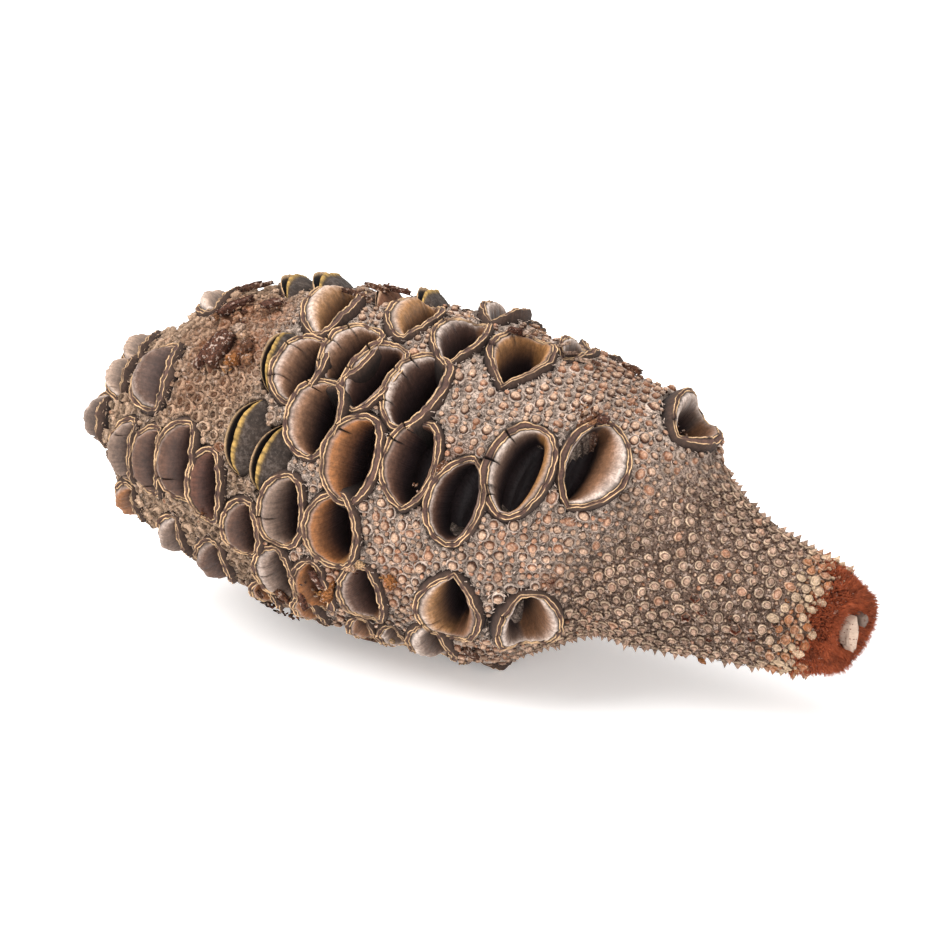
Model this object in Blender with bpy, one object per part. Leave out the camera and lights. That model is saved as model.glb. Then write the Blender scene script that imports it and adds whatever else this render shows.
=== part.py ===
"""A dry banksia cone: one woody body on a short bent stem, with open seed follicles all round it.

The cone lies along X with its broken stem towards +X. It rests on z = 0, on a small flat spot under its belly.
A place on the cone is given as the distance along its spine from the tip, in mm, and the angle round the spine
in degrees: 0 is up, 90 is towards -Y, 180 is down.
"""

import math

import bmesh
import bpy
from mathutils import Vector

MM = 0.001

# The spine: straight through the belly, then bending down and a little sideways into the stem.
CONE_LENGTH = 189.0
SPINE_START = (-92.0, 0.8, 44.0)
BEND_START = 85.0
BEND_LENGTH = 30.0
STEM_DROOP = 14.0
STEM_SWING = 2.0

# The skin: distance from the tip, then the radius on the full side and on the lean side of the cone.
LEAN_SIDE = -25.0
PROFILE = (
    (0, 8.5, 9.5),
    (2, 11.0, 13.0),
    (5, 14.5, 16.5),
    (10, 19.5, 20.5),
    (18, 24.5, 26.0),
    (30, 30.0, 33.5),
    (45, 34.5, 36.8),
    (60, 37.2, 37.5),
    (80, 39.6, 35.8),
    (95, 40.4, 35.0),
    (108, 39.4, 33.8),
    (116, 36.4, 33.6),
    (124, 29.6, 33.4),
    (132, 23.4, 31.4),
    (140, 22.9, 26.2),
    (148, 20.9, 19.8),
    (158, 18.4, 15.4),
    (172, 15.0, 13.2),
    (184, 13.0, 12.2),
    (189, 11.2, 10.8),
)
SKIN_STATIONS = (0, 2, 5, 10, 17, 26, 37, 50, 65, 80, 93, 104, 112, 118, 124, 130, 136, 142, 148, 155, 164, 174, 184, 189)
SKIN_SIDES = 26

# The shallow pale hollow in the broken end of the stem.
DISH_RADIUS = 6.2
DISH_DEPTH = 1.6

# Open follicles: distance from the tip, angle round, length across the cone, width along it, gape of the slot,
# and how far the lips stand out of the skin.
FOLLICLES = (
    # round the tip
    (1, 66, 14, 9, 3.0, 4.2),
    (3, 24, 12, 8, 2.5, 3.6),
    (8, 2, 13, 9, 2.5, 3.6),
    (17, 34, 18, 13, 3.5, 4.0),
    (12, 86, 16, 9, 2.5, 3.4),
    (21, 82, 17, 9, 2.5, 3.6),
    (30, 77, 18, 10, 3.0, 3.8),
    (38.5, 84, 18, 9, 2.5, 3.6),
    (9, 132, 14, 8, 2.5, 4.2),
    (24, 126, 15, 9, 2.5, 3.8),
    (35, 132, 17, 10, 2.5, 3.8),
    (25, -12, 15, 10, 2.5, 3.6),
    # the belly, row by row from above
    (46, -22, 18, 10, 3.0, 4.0),
    (57, -24, 19, 11, 3.0, 4.2),
    (55, 4, 19, 10.5, 3.0, 4.0),
    (76, -3, 20, 12, 4.0, 4.0),
    (87.5, 2, 20, 12, 4.5, 3.2),
    (94, -29, 18, 11, 3.0, 4.0),
    (99, 2, 20, 14, 5.0, 3.0),
    (106, -27, 16, 10, 3.0, 3.6),
    (135, -10, 19, 14, 5.0, 4.5),
    (55.5, 33, 18.5, 12, 3.5, 3.8),
    (64.5, 22, 20, 11.5, 3.5, 3.8),
    (72, 28, 21, 10.5, 3.0, 3.8),
    (83.5, 33, 22, 13.5, 4.5, 3.8),
    (121.5, 37, 23, 15.5, 5.5, 3.8),
    (65, 52, 19, 13, 4.0, 4.0),
    (110.5, 54, 23, 15, 5.5, 4.0),
    (75, 63, 21, 14, 4.5, 4.0),
    (88.5, 62, 21, 12.5, 4.0, 3.8),
    (100.5, 72, 21, 12.5, 4.5, 3.4),
    (72, 90, 18.5, 13.5, 4.5, 4.0),
    (59.5, 88, 18, 11.5, 3.5, 4.0),
    (50, 97, 15, 9.5, 2.5, 3.6),
    (55.5, 123, 19, 11, 3.0, 3.4),
    (66, 117, 19, 11, 3.0, 3.6),
    (78.5, 117, 18, 10.5, 3.5, 3.4),
    (103, 114, 21, 15, 5.0, 4.0),
    (118, 114, 17, 13, 4.5, 4.0),
    # low on the near side and underneath
    (47, 147, 15, 9, 2.5, 3.6),
    (60, 145, 17, 10, 2.5, 3.6),
    (73.5, 146, 17, 10, 2.5, 3.2),
    (86, 142, 17, 10, 3.0, 3.4),
    (98, 139, 18, 11, 3.5, 3.6),
    (41, 176, 16, 10, 3.0, 4.0),
    (54, 171, 18, 11, 3.0, 5.0),
    (67.5, 174, 18, 11, 3.0, 4.6),
    (104, 172, 18, 12, 3.0, 4.4),
)

# The far side carries the same kind of follicles in staggered rows, with a few places left bare.
FAR_ROWS = (202, 230, 258, 286, 314)
FAR_SPACING = 15.2
FAR_STARTS = (16.0, 23.5)
FAR_END = 122.0
FAR_SIZE = (19.0, 11.5, 3.5, 3.8)
FAR_SWAY = 4.0
FAR_CROWDING = 0.93
BARE_PLACES = ((202, 38.0), (230, 91.0), (258, 38.0), (286, 106.0), (314, 54.0))

# Follicles that never opened: distance from the tip, angle round, length, width, and how far they stand out.
SHUT_FOLLICLES = (
    (33, 9, 13, 6, 2.0),
    (35, 32, 13, 7, 2.2),
    (66, -17, 16, 7, 3.2),
    (48.2, 33, 16, 4.5, 3.0),
    (46, 63, 18, 8, 3.4),
    (53, 70, 17, 8, 3.4),
)
# One more under the belly, which the cone lies on: the ground cuts it flat.
REST_KNOB = (86, 180, 20, 17, 5.2)

# The outline of a follicle, as shares of its half length and half width, once round.
LENS = ((1, 0), (0.62, 0.78), (0, 1), (-0.62, 0.78), (-1, 0), (-0.62, -0.78), (0, -1), (0.62, -0.78))
LIP_WALL = 2.0
LIP_FLARE = 1.6
LIP_DROOP = 0.75
FOOT_DEPTH = 3.0
CUT_OVER = 1.5
SLOT_LENGTH = 0.72
DEEPEST_SLOT = 11.0
DEPTH_SHARE = 0.36

WOOD_COLOUR = (0.30, 0.22, 0.17, 1.0)
WOOD_ROUGHNESS = 0.8


def clear_scene():
    for obj in list(bpy.data.objects):
        bpy.data.objects.remove(obj)


def smooth_step(t):
    t = min(max(t, 0.0), 1.0)
    return t * t * (3 - 2 * t)


def profile_radius(along, column):
    """A smooth curve through one column of the profile, as a cubic between each two neighbours."""
    last = len(PROFILE) - 1
    i = next((k for k in range(last) if along <= PROFILE[k + 1][0]), last - 1)

    def slope(k):
        low, high = PROFILE[max(k - 1, 0)], PROFILE[min(k + 1, last)]
        return (high[column] - low[column]) / (high[0] - low[0])

    run = PROFILE[i + 1][0] - PROFILE[i][0]
    t = min(max((along - PROFILE[i][0]) / run, 0.0), 1.0)
    return (
        (2 * t**3 - 3 * t**2 + 1) * PROFILE[i][column]
        + (t**3 - 2 * t**2 + t) * run * slope(i)
        + (3 * t**2 - 2 * t**3) * PROFILE[i + 1][column]
        + (t**3 - t**2) * run * slope(i + 1)
    )


def spine_direction(along):
    share = smooth_step((along - BEND_START) / BEND_LENGTH)
    droop, swing = math.radians(STEM_DROOP * share), math.radians(STEM_SWING * share)
    return Vector((math.cos(droop) * math.cos(swing), -math.cos(droop) * math.sin(swing), -math.sin(droop)))


def spine_points():
    """The spine at every millimetre from the tip to the end of the stem."""
    points = [Vector(SPINE_START)]
    for k in range(round(CONE_LENGTH)):
        points.append(points[-1] + spine_direction(k + 0.5))
    return points


SPINE = spine_points()


def spine_point(along):
    k = min(max(int(along), 0), len(SPINE) - 2)
    return SPINE[k] + (SPINE[k + 1] - SPINE[k]) * (along - k)


def outward_at(along, around):
    """The direction that points away from the spine at this angle."""
    direction = spine_direction(along)
    side = direction.cross(Vector((0, 0, 1))).normalized()
    angle = math.radians(around)
    return side.cross(direction) * math.cos(angle) + side * math.sin(angle)


def skin_radius(along, around):
    lean = (1 + math.cos(math.radians(around - LEAN_SIDE))) / 2
    return profile_radius(along, 1) * (1 - lean) + profile_radius(along, 2) * lean


def skin_point(along, around):
    return spine_point(along) + outward_at(along, around) * skin_radius(along, around)


def cone_skin():
    """A tube turned round Z, with every vertex then moved out to its place on the skin."""
    skin = bmesh.new()
    line = [skin.verts.new((0, 1, along)) for along in SKIN_STATIONS]
    edges = [skin.edges.new(pair) for pair in zip(line, line[1:])]
    turn = {"cent": (0, 0, 0), "axis": (0, 0, 1), "angle": 2 * math.pi, "steps": SKIN_SIDES}
    bmesh.ops.spin(skin, geom=line + edges, use_merge=True, **turn)
    bmesh.ops.holes_fill(skin, edges=skin.edges[:])
    for vertex in skin.verts:
        x, y, along = vertex.co
        vertex.co = skin_point(along, math.degrees(math.atan2(x, y))) * MM
    return skin


def follicle_frame(along, around):
    """A follicle's centre on the skin, with its axes across the cone, along it and out of it."""
    across = (skin_point(along, around + 2) - skin_point(along, around - 2)).normalized()
    forward = (skin_point(along + 1.5, around) - skin_point(along - 1.5, around)).normalized()
    outward = forward.cross(across).normalized()
    if outward.dot(outward_at(along, around)) < 0:
        outward.negate()
    return skin_point(along, around), across, outward.cross(across), outward


def prism(frame, low, high):
    """A closed solid between two lens outlines, each given by its half length, half width, height and droop.

    Droop is how much lower the outline's two pointed corners are than its middle.
    """
    centre, across, forward, outward = frame
    solid = bmesh.new()
    bmesh.ops.create_cone(solid, cap_ends=True, segments=len(LENS), radius1=1, radius2=1, depth=2)
    for vertex in solid.verts:
        step = round(math.atan2(vertex.co.y, vertex.co.x) / (2 * math.pi) * len(LENS))
        u, v = LENS[step % len(LENS)]
        half_length, half_width, height, droop = high if vertex.co.z > 0 else low
        place = centre + across * (half_length * u) + forward * (half_width * v)
        vertex.co = (place + outward * (height - droop * u * u)) * MM
    bmesh.ops.triangulate(solid, faces=solid.faces[:])
    bmesh.ops.recalc_face_normals(solid, faces=solid.faces[:])
    return solid


def lips(frame, length, width, rise):
    foot = (length / 2 + 0.6, width / 2 + LIP_FLARE, -FOOT_DEPTH, 0)
    return prism(frame, foot, (length / 2, width / 2, rise, rise * LIP_DROOP))


def slot(frame, length, width, gape, rise, depth):
    half_length, half_width = length / 2 - LIP_WALL, width / 2 - LIP_WALL
    floor = (half_length * SLOT_LENGTH, gape / 2, -depth, 0)
    return prism(frame, floor, (half_length + 0.4, half_width + 0.3, rise + CUT_OVER, 0))


def far_follicles():
    """The staggered rows of the far side, each follicle no longer than the room in its row."""
    made = []
    row_angle = FAR_ROWS[1] - FAR_ROWS[0]
    for row, around in enumerate(FAR_ROWS):
        length, width, gape, rise = FAR_SIZE
        along = FAR_STARTS[row % 2]
        while along < FAR_END:
            bare = any(around == angle and abs(along - at) < FAR_SPACING / 2 for angle, at in BARE_PLACES)
            if not bare:
                sway = FAR_SWAY * math.sin(1.7 * row + 0.9 * along)
                room = FAR_CROWDING * math.radians(row_angle) * skin_radius(along, around)
                made.append((along, around + sway, min(length, room), width, gape, rise))
            along += FAR_SPACING
    return made


def ground_block():
    """Everything below the surface that the cone lies on."""
    block = bmesh.new()
    bmesh.ops.create_cube(block, size=1.0)
    bmesh.ops.scale(block, vec=(0.3, 0.2, 0.02), verts=block.verts)
    bmesh.ops.translate(block, vec=(0, 0, -0.01), verts=block.verts)
    return block


def stem_dish():
    """The hollow in the end of the stem."""
    direction = spine_direction(CONE_LENGTH)
    side = direction.cross(Vector((0, 0, 1))).normalized()
    frame = (spine_point(CONE_LENGTH), side, side.cross(direction), direction)
    return prism(frame, (DISH_RADIUS * 0.8,) * 2 + (-DISH_DEPTH, 0), (DISH_RADIUS * 1.1,) * 2 + (DISH_DEPTH, 0))


def add_object(name, mesh_data, collection):
    mesh = bpy.data.meshes.new(name)
    mesh_data.to_mesh(mesh)
    mesh_data.free()
    obj = bpy.data.objects.new(name, mesh)
    collection.objects.link(obj)
    return obj


def combine(obj, name, solids, operation):
    """Joins helper solids to an object, or cuts them out of it, with one Boolean."""
    helpers = bpy.data.collections.new(name)
    bpy.context.scene.collection.children.link(helpers)
    for k, solid in enumerate(solids):
        helper = add_object(f"{name}_{k:02d}", solid, helpers)
        helper.hide_render = True
        helper.display_type = "WIRE"
    modifier = obj.modifiers.new(name, "BOOLEAN")
    modifier.operand_type = "COLLECTION"
    modifier.collection = helpers
    modifier.operation = operation
    modifier.solver = "EXACT"


def wood():
    material = bpy.data.materials.new("cone_wood")
    material.use_nodes = True
    shader = material.node_tree.nodes["Principled BSDF"]
    shader.inputs["Base Color"].default_value = WOOD_COLOUR
    shader.inputs["Roughness"].default_value = WOOD_ROUGHNESS
    shader.inputs["Metallic"].default_value = 0.0
    return material


def build():
    clear_scene()
    cone = add_object("banksia_cone", cone_skin(), bpy.context.scene.collection)
    cone.data.materials.append(wood())
    all_lips, slots = [], []
    for along, around, length, width, gape, rise in list(FOLLICLES) + far_follicles():
        frame = follicle_frame(along, around)
        depth = min(DEEPEST_SLOT, DEPTH_SHARE * skin_radius(along, around))
        all_lips.append(lips(frame, length, width, rise))
        slots.append(slot(frame, length, width, gape, rise, depth))
    for along, around, length, width, rise in list(SHUT_FOLLICLES) + [REST_KNOB]:
        all_lips.append(lips(follicle_frame(along, around), length, width, rise))
    combine(cone, "lips", all_lips, "UNION")
    combine(cone, "slots", slots + [stem_dish()], "DIFFERENCE")
    combine(cone, "ground", [ground_block()], "DIFFERENCE")


build()
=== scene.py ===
import math
import random

import bmesh
import bpy
import numpy as np
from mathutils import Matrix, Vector, geometry, noise


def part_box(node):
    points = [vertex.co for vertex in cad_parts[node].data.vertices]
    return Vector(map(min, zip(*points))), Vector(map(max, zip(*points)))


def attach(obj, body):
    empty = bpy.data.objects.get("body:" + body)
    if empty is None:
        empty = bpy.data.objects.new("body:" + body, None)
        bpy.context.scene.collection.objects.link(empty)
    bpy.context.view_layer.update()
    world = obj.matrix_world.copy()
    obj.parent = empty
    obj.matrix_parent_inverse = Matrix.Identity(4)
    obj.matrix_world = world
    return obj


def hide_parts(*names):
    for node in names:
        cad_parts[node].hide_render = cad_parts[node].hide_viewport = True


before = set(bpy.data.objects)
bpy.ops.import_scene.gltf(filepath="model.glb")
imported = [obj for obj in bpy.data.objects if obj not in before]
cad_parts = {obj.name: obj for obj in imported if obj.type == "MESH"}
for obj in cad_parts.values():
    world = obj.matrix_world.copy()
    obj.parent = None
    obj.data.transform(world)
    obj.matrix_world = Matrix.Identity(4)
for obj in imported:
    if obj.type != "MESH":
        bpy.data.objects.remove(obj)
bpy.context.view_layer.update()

coneLow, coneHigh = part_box("banksia_cone")
mm = 0.001
rng = np.random.default_rng(31)
dice = random.Random(31)


def shade(red, green, blue):  # a colour as a painter names it, 0 to 255, made linear
    def linear(c):
        c = c / 255
        return c / 12.92 if c <= 0.04045 else ((c + 0.055) / 1.055) ** 2.4
    return np.array([linear(red), linear(green), linear(blue)])


def smoothStep(low, high, value):
    t = np.clip((value - low) / (high - low), 0, 1)
    return t * t * (3 - 2 * t)


# the cone's own coordinates: mm along the spine from the tip,
# and degrees round it, 0 up and 90 to the near side

cone = {
    "length": 189.0,
    "tipStandsOut": 5.1,      # how far the last follicle reaches past the spine's start
    "spineHeight": 44.0,      # above the surface
    "spineAside": 0.8,
    "bendStart": 85.0, "bendLength": 30.0, "droop": 14.0, "swing": 2.0,
    "leanSide": -25.0,
    "profile": (  # mm along, radius on the full side, radius on the lean side
        (0, 8.5, 9.5), (2, 11, 13), (5, 14.5, 16.5), (10, 19.5, 20.5), (18, 24.5, 26), (30, 30, 33.5),
        (45, 34.5, 36.8), (60, 37.2, 37.5), (80, 39.6, 35.8), (95, 40.4, 35), (108, 39.4, 33.8),
        (116, 36.4, 33.6), (124, 29.6, 33.4), (132, 23.4, 31.4), (140, 22.9, 26.2), (148, 20.9, 19.8),
        (158, 18.4, 15.4), (172, 15, 13.2), (184, 13, 12.2), (189, 11.2, 10.8),
    ),
}
groundHeight = coneLow.z / mm
spineStart = np.array([
    coneLow.x / mm + cone["tipStandsOut"],
    (coneLow.y + coneHigh.y) / 2 / mm + cone["spineAside"],
    groundHeight + cone["spineHeight"],
])


def profileRadius(along, column):
    knots = cone["profile"]
    last = len(knots) - 1
    i = next((k for k in range(last) if along <= knots[k + 1][0]), last - 1)

    def slope(k):
        low, high = knots[max(k - 1, 0)], knots[min(k + 1, last)]
        return (high[column] - low[column]) / (high[0] - low[0])

    run = knots[i + 1][0] - knots[i][0]
    t = min(max((along - knots[i][0]) / run, 0.0), 1.0)
    return (
        (2 * t**3 - 3 * t**2 + 1) * knots[i][column]
        + (t**3 - 2 * t**2 + t) * run * slope(i)
        + (3 * t**2 - 2 * t**3) * knots[i + 1][column]
        + (t**3 - t**2) * run * slope(i + 1)
    )


stations = np.arange(-8.0, cone["length"] + 8.5, 0.5)
fullRadii = np.array([profileRadius(s, 1) for s in stations])
leanRadii = np.array([profileRadius(s, 2) for s in stations])


def directionAt(along):
    share = smoothStep(cone["bendStart"], cone["bendStart"] + cone["bendLength"], along)
    droop, swing = np.radians(cone["droop"] * share), np.radians(cone["swing"] * share)
    return np.stack([np.cos(droop) * np.cos(swing), -np.sin(swing) * np.cos(droop), -np.sin(droop)], axis=-1)


steps = directionAt(stations[:-1] + 0.25) * 0.5
spineTable = np.vstack([np.zeros(3), np.cumsum(steps, axis=0)])
spineTable += spineStart - spineTable[np.searchsorted(stations, 0.0)]


def spineAt(along):
    return np.stack([np.interp(along, stations, spineTable[:, k]) for k in range(3)], axis=-1)


def outwardAt(along, around):
    forward = directionAt(along)
    side = np.cross(forward, [0, 0, 1.0])
    side /= np.linalg.norm(side, axis=-1, keepdims=True)
    up = np.cross(side, forward)
    angle = np.radians(around)[..., None]
    return up * np.cos(angle) + side * np.sin(angle)


def radiusAt(along, around):
    lean = (1 + np.cos(np.radians(around - cone["leanSide"]))) / 2
    full, thin = np.interp(along, stations, fullRadii), np.interp(along, stations, leanRadii)
    return full * (1 - lean) + thin * lean


def skinAt(along, around, out=0.0):
    along, around = np.broadcast_arrays(np.asarray(along, float), np.asarray(around, float))
    return spineAt(along) + outwardAt(along, around) * (radiusAt(along, around) + out)[..., None]


def unit(v):
    return v / np.linalg.norm(v, axis=-1, keepdims=True)


def framesAt(along, around):  # the skin's own axes: across the cone, along it, and out of it
    across = unit(skinAt(along, around + 1) - skinAt(along, around - 1))
    forward = unit(skinAt(along + 1, around) - skinAt(along - 1, around))
    outward = unit(np.cross(across, forward))
    return across, np.cross(outward, across), outward


# follicles: mm along, degrees round, length across the cone, width along it, then what sets one apart

plain = dict(
    rise=3.3, gape=4.0, shift=0.2, turn=0, tone="greyBrown", inner="tan", pale=0.5, cracks=(),
    topPoint=0.86, endPoint=1.0, lean=0.05, bulge=0.5, lip=1.25, depth=10.0, shut="", slot=0.88,
)
shutPoint = 1.35  # how pointed the ends of an unopened follicle are
tipLook = dict(bulge=1.7, gape=1.6, shift=0.52, lean=0.2, rise=3.2, topPoint=0.8, endPoint=0.85)
follicles = [
    # round the tip
    (1.5, 70, 15, 9, dict(tipLook, tone="silver", pale=1.0, rise=3.6, lip=1.7, cracks=(0.78,))),
    (7.5, 33, 13, 9, dict(tipLook, tone="beige", pale=0.8, cracks=(0.8,))),
    (8.5, 7, 14, 9.5, dict(tipLook, tone="beige", pale=0.6, cracks=(0.7,))),
    (20.5, 40, 18.5, 15, dict(tipLook, pale=0.6, lip=2.3, gape=3.0)),
    (14, 83, 17, 9.5, dict(tipLook, tone="silver", pale=0.5, cracks=(0.3, 0.84))),
    (23, 81.5, 18, 10.5, dict(tipLook, tone="greyBrown", pale=0.35, cracks=(0.82,))),
    (32.5, 77, 20, 12.5, dict(tipLook, tone="umber", pale=0.3, gape=2.8, cracks=(0.66,))),
    (40, 84, 19, 10.5, dict(tone="redBrown", pale=0.0, inner="redBrown", gape=2.4, shift=0.37)),
    (13, 122, 14, 9, dict(tipLook, tone="amber", pale=0.5)),
    (28, 119, 15, 9, dict(tipLook, tone="silver", pale=0.8)),
    (39.5, 122, 17, 10, dict(tipLook, tone="greyBrown", pale=0.5, cracks=(0.5,))),
    (26, -8, 15, 10, dict(tipLook, tone="beige", pale=0.9)),
    # the belly, row by row from above
    (43.5, -16, 18, 10, dict(shut="closed", rise=3.6)),
    (51.5, -17, 19, 11, dict(shut="closed", rise=4.2)),
    (66.5, -14, 16, 7, dict(shut="torn", rise=3.6)),
    (58, 6, 22, 13, dict(tone="gold", pale=0.9, rise=3.8, bulge=1.4, shift=0.5, gape=2.6, lip=1.9,
        cracks=(0.25,))),
    (76.5, 0, 20, 12.5, dict(tone="gold", pale=0.6, rise=3.8, bulge=1.2, shift=0.5, gape=2.6,
        cracks=(0.2,))),
    (89.5, 8, 21, 13, dict(tone="umber", pale=0.9, gape=5.4, shift=0.15, endPoint=1.5,
        cracks=(0.35, 0.5, 0.62))),
    (91.5, -24, 18, 11, dict(tone="silver", pale=1.0, rise=5.4, cracks=(0.4, 0.55, 0.66))),
    (100.5, 9, 23, 15, dict(tone="gold", pale=0.5, gape=6.4, shift=0.0, endPoint=1.8, inner="gold",
        cracks=(0.3, 0.55))),
    (106.5, -14, 16, 9, dict(tone="silver", pale=1.0, cracks=(0.3, 0.5, 0.7))),
    (135.5, -12, 20, 15, dict(tone="silver", pale=1.0, rise=4.6, gape=6.0, shift=0.1, lip=1.9,
        cracks=(0.4, 0.6, 0.85))),
    (58, 36, 19, 13, dict(turn=-7, tone="tan", pale=0.7, bulge=1.1, shift=0.4, gape=3.2,
        cracks=(0.34, 0.66))),
    (68, 27, 20, 12.5, dict(turn=-16, tone="tan", pale=0.8, bulge=0.9, gape=3.8, cracks=(0.3, 0.5, 0.7))),
    (75.5, 34, 21, 12.5, dict(turn=-18, tone="umber", pale=0.7, gape=3.6, shift=0.0, cracks=(0.34, 0.56))),
    (86.5, 36.5, 22, 14.5, dict(turn=-13, tone="umber", pale=0.85, gape=6.0, shift=0.1, lip=1.9,
        inner="gold", cracks=(0.3, 0.44, 0.7))),
    (123, 39.5, 23, 16, dict(tone="silver", pale=1.0, inner="tan", gape=5.6, shift=-0.27, lean=-0.1,
        endPoint=1.4, topPoint=1.25, lip=1.7, cracks=(0.2,))),
    (65.5, 53, 19.5, 14, dict(turn=-4, tone="tan", pale=0.5, rise=4.0, gape=4.6, shift=0.28,
        cracks=(0.2,))),
    (110.5, 54, 23, 15.5, dict(tone="silver", pale=1.0, rise=4.0, gape=6.4, shift=0.0, inner="gold",
        lip=1.8, cracks=(0.3, 0.52, 0.7, 0.8))),
    (76.5, 64.5, 21.5, 14.5, dict(turn=-6, tone="amber", pale=0.3, rise=4.0, gape=5.6, shift=0.28,
        inner="amber", lip=1.7, cracks=(0.3,))),
    (90, 63, 21.5, 14, dict(tone="umber", pale=0.3, gape=5.8, shift=0.1, endPoint=1.6, turn=-5,
        cracks=(0.36, 0.2))),
    (101, 71, 21.5, 13.5, dict(tone="umber", pale=0.6, topPoint=1.4, gape=7.0, shift=0.0, turn=-4,
        inner="umber")),
    (73.5, 89.5, 19, 14, dict(tone="amber", pale=0.3, rise=4.0, gape=5.8, shift=0.14, inner="gold",
        lip=1.1)),
    (60.5, 86.5, 19, 12.5, dict(turn=-6, tone="silver", pale=0.4, bulge=1.1, gape=4.0, shift=0.32,
        cracks=(0.58,))),
    (49.8, 97, 16, 11, dict(tone="umber", pale=0.35, bulge=1.1, gape=2.8, shift=0.5)),
    (57, 115, 19, 12, dict(tone="silver", pale=0.7, shift=0.4, gape=3.0, cracks=(0.35, 0.5))),
    (66.5, 116, 18, 11, dict(tone="amber", pale=0.2, inner="amber", lip=1.9)),
    (79.5, 113, 18.5, 12, dict(tone="umber", pale=0.5, gape=4.2, shift=0.2)),
    (104, 110, 21.5, 16, dict(tone="gold", pale=0.7, gape=4.4, shift=0.1, topPoint=1.5,
        cracks=(0.7, 0.82))),
    (121, 113, 20, 16, dict(tone="silver", pale=1.0, gape=5.4, shift=-0.1, rise=4.2,
        cracks=(0.3, 0.5, 0.7))),
    # low on the near side and underneath
    (50.5, 134, 14, 8, dict(tone="amber", inner="amber")),
    (62, 135, 16, 9, dict(tone="amber", inner="amber")),
    (76, 138, 16, 9, dict(tone="tan")),
    (84, 137, 15, 9, dict(tone="silver", pale=0.9, cracks=(0.5,))),
    (96, 133, 18, 12, dict(tone="silver", pale=0.95, gape=3.0, shift=0.4, bulge=1.2, cracks=(0.4,))),
    (41, 176, 16, 10, dict()),
    (54, 171, 18, 11, dict(rise=5.0)),
    (67.5, 174, 18, 11, dict(rise=4.6)),
    (104, 172, 18, 12, dict(rise=4.4)),
    # grown but never opened, torn open by birds, or only just parting
    (33.5, 9, 12, 5, dict(shut="torn", rise=1.6, turn=-20)),
    (35.4, 32.5, 11, 5, dict(shut="torn", rise=1.6, turn=-12)),
    (51.5, 33, 17, 7, dict(shut="closed", rise=3.2)),
    (49, 63, 19, 9.5, dict(shut="closed", rise=3.2, turn=-9)),
    (56, 69, 18, 8.5, dict(shut="closed", rise=3.2, turn=-16)),
    (86, 180, 20, 17, dict(shut="closed", rise=4.8)),
    (75, -24, 18, 10, dict(shut="closed", rise=4.6)),
]
farSide = {
    "rows": (202, 230, 258, 286, 314), "spacing": 15.2, "starts": (16.0, 23.5), "end": 122.0,
    "size": (19.0, 11.5), "rise": 3.8, "gape": 3.5, "sway": 4.0, "crowding": 0.93,
    "bare": ((202, 38.0), (230, 91.0), (258, 38.0), (286, 106.0), (314, 54.0)),
}


def farFollicles():
    made = []
    rowAngle = farSide["rows"][1] - farSide["rows"][0]
    for row, around in enumerate(farSide["rows"]):
        along = farSide["starts"][row % 2]
        while along < farSide["end"]:
            bare = [at for angle, at in farSide["bare"] if angle == around]
            if not any(abs(along - at) < farSide["spacing"] / 2 for at in bare):
                sway = farSide["sway"] * math.sin(1.7 * row + 0.9 * along)
                room = farSide["crowding"] * math.radians(rowAngle) * float(radiusAt(along, around))
                looks = {
                    "rise": farSide["rise"], "gape": farSide["gape"] * dice.uniform(0.7, 1.3),
                    "tone": dice.choice(("silver", "tan", "umber", "greyBrown", "amber", "gold")),
                    "inner": dice.choice(("tan", "gold", "umber")), "pale": dice.uniform(0.3, 0.95),
                    "turn": dice.uniform(-8, 8), "shift": dice.uniform(0.1, 0.5),
                    "lip": dice.uniform(1.3, 2.0),
                    "topPoint": dice.uniform(0.85, 1.4), "endPoint": dice.uniform(0.85, 1.5),
                    "cracks": tuple(dice.uniform(0.25, 0.75) for k in range(dice.randint(0, 3))),
                    "shut": "closed" if dice.random() < 0.1 else "",
                }
                made.append((along, around + sway, min(farSide["size"][0], room), farSide["size"][1], looks))
            along += farSide["spacing"]
    return made


def settle(row):  # one follicle's row, with its place and axes worked out
    along, around, length, width, looks = row
    pod = dict(plain, **looks)
    centre = skinAt(along, around)
    across, forward, outward = framesAt(along, around)
    turn = math.radians(pod["turn"])
    pod["centre"], pod["outward"] = centre, outward
    pod["across"] = across * math.cos(turn) + forward * math.sin(turn)
    pod["forward"] = forward * math.cos(turn) - across * math.sin(turn)
    pod["radius"] = float(radiusAt(along, around))
    pod["halfLength"], pod["halfWidth"] = length / 2, width / 2
    pod["depth"] = min(pod["depth"], 0.34 * pod["radius"])
    pod["along"], pod["around"] = along, around
    return pod


pods = [settle(row) for row in follicles + farFollicles()]
print("follicles placed:", len(pods))


def edgeShare(x, y, point):  # how far out a place lies, 1 on a pointed oval's edge
    grid = np.linspace(0.001, math.pi / 2 - 0.001, 90)
    theta = np.interp(np.abs(y) / np.maximum(np.abs(x), 1e-6), np.sin(grid) ** point / np.cos(grid), grid)
    return np.hypot(x, y) / np.hypot(np.cos(theta), np.sin(theta) ** point)


def reach(pod, points):  # mm outside a follicle's outline, negative inside, and how high its lip is there
    away = points - pod["centre"]
    u, v, w = away @ pod["across"], away @ pod["forward"], away @ pod["outward"]
    lean, topPoint, endPoint = pod["lean"], pod["topPoint"], pod["endPoint"]
    if pod["shut"]:
        lean, topPoint, endPoint = 0, shutPoint, shutPoint
    x, y = u / pod["halfLength"], v / (pod["halfWidth"] * np.where(v > 0, 1 - lean, 1 + lean))
    size = np.where(u > 0, edgeShare(x, y, endPoint), edgeShare(x, y, topPoint))
    span = np.hypot(u, v)
    gap = span - span / np.maximum(size, 1e-6)
    low = 1 - 0.6 * np.clip(np.abs(x) / np.maximum(np.hypot(x, y), 1e-6), 0, 1) ** 4
    return np.where(w > -pod["radius"] * 0.8, gap, 99.0), low


swelling = {"height": 0.56, "reach": 2.4, "noiseHeight": 0.35, "noiseSize": 0.11}


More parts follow.
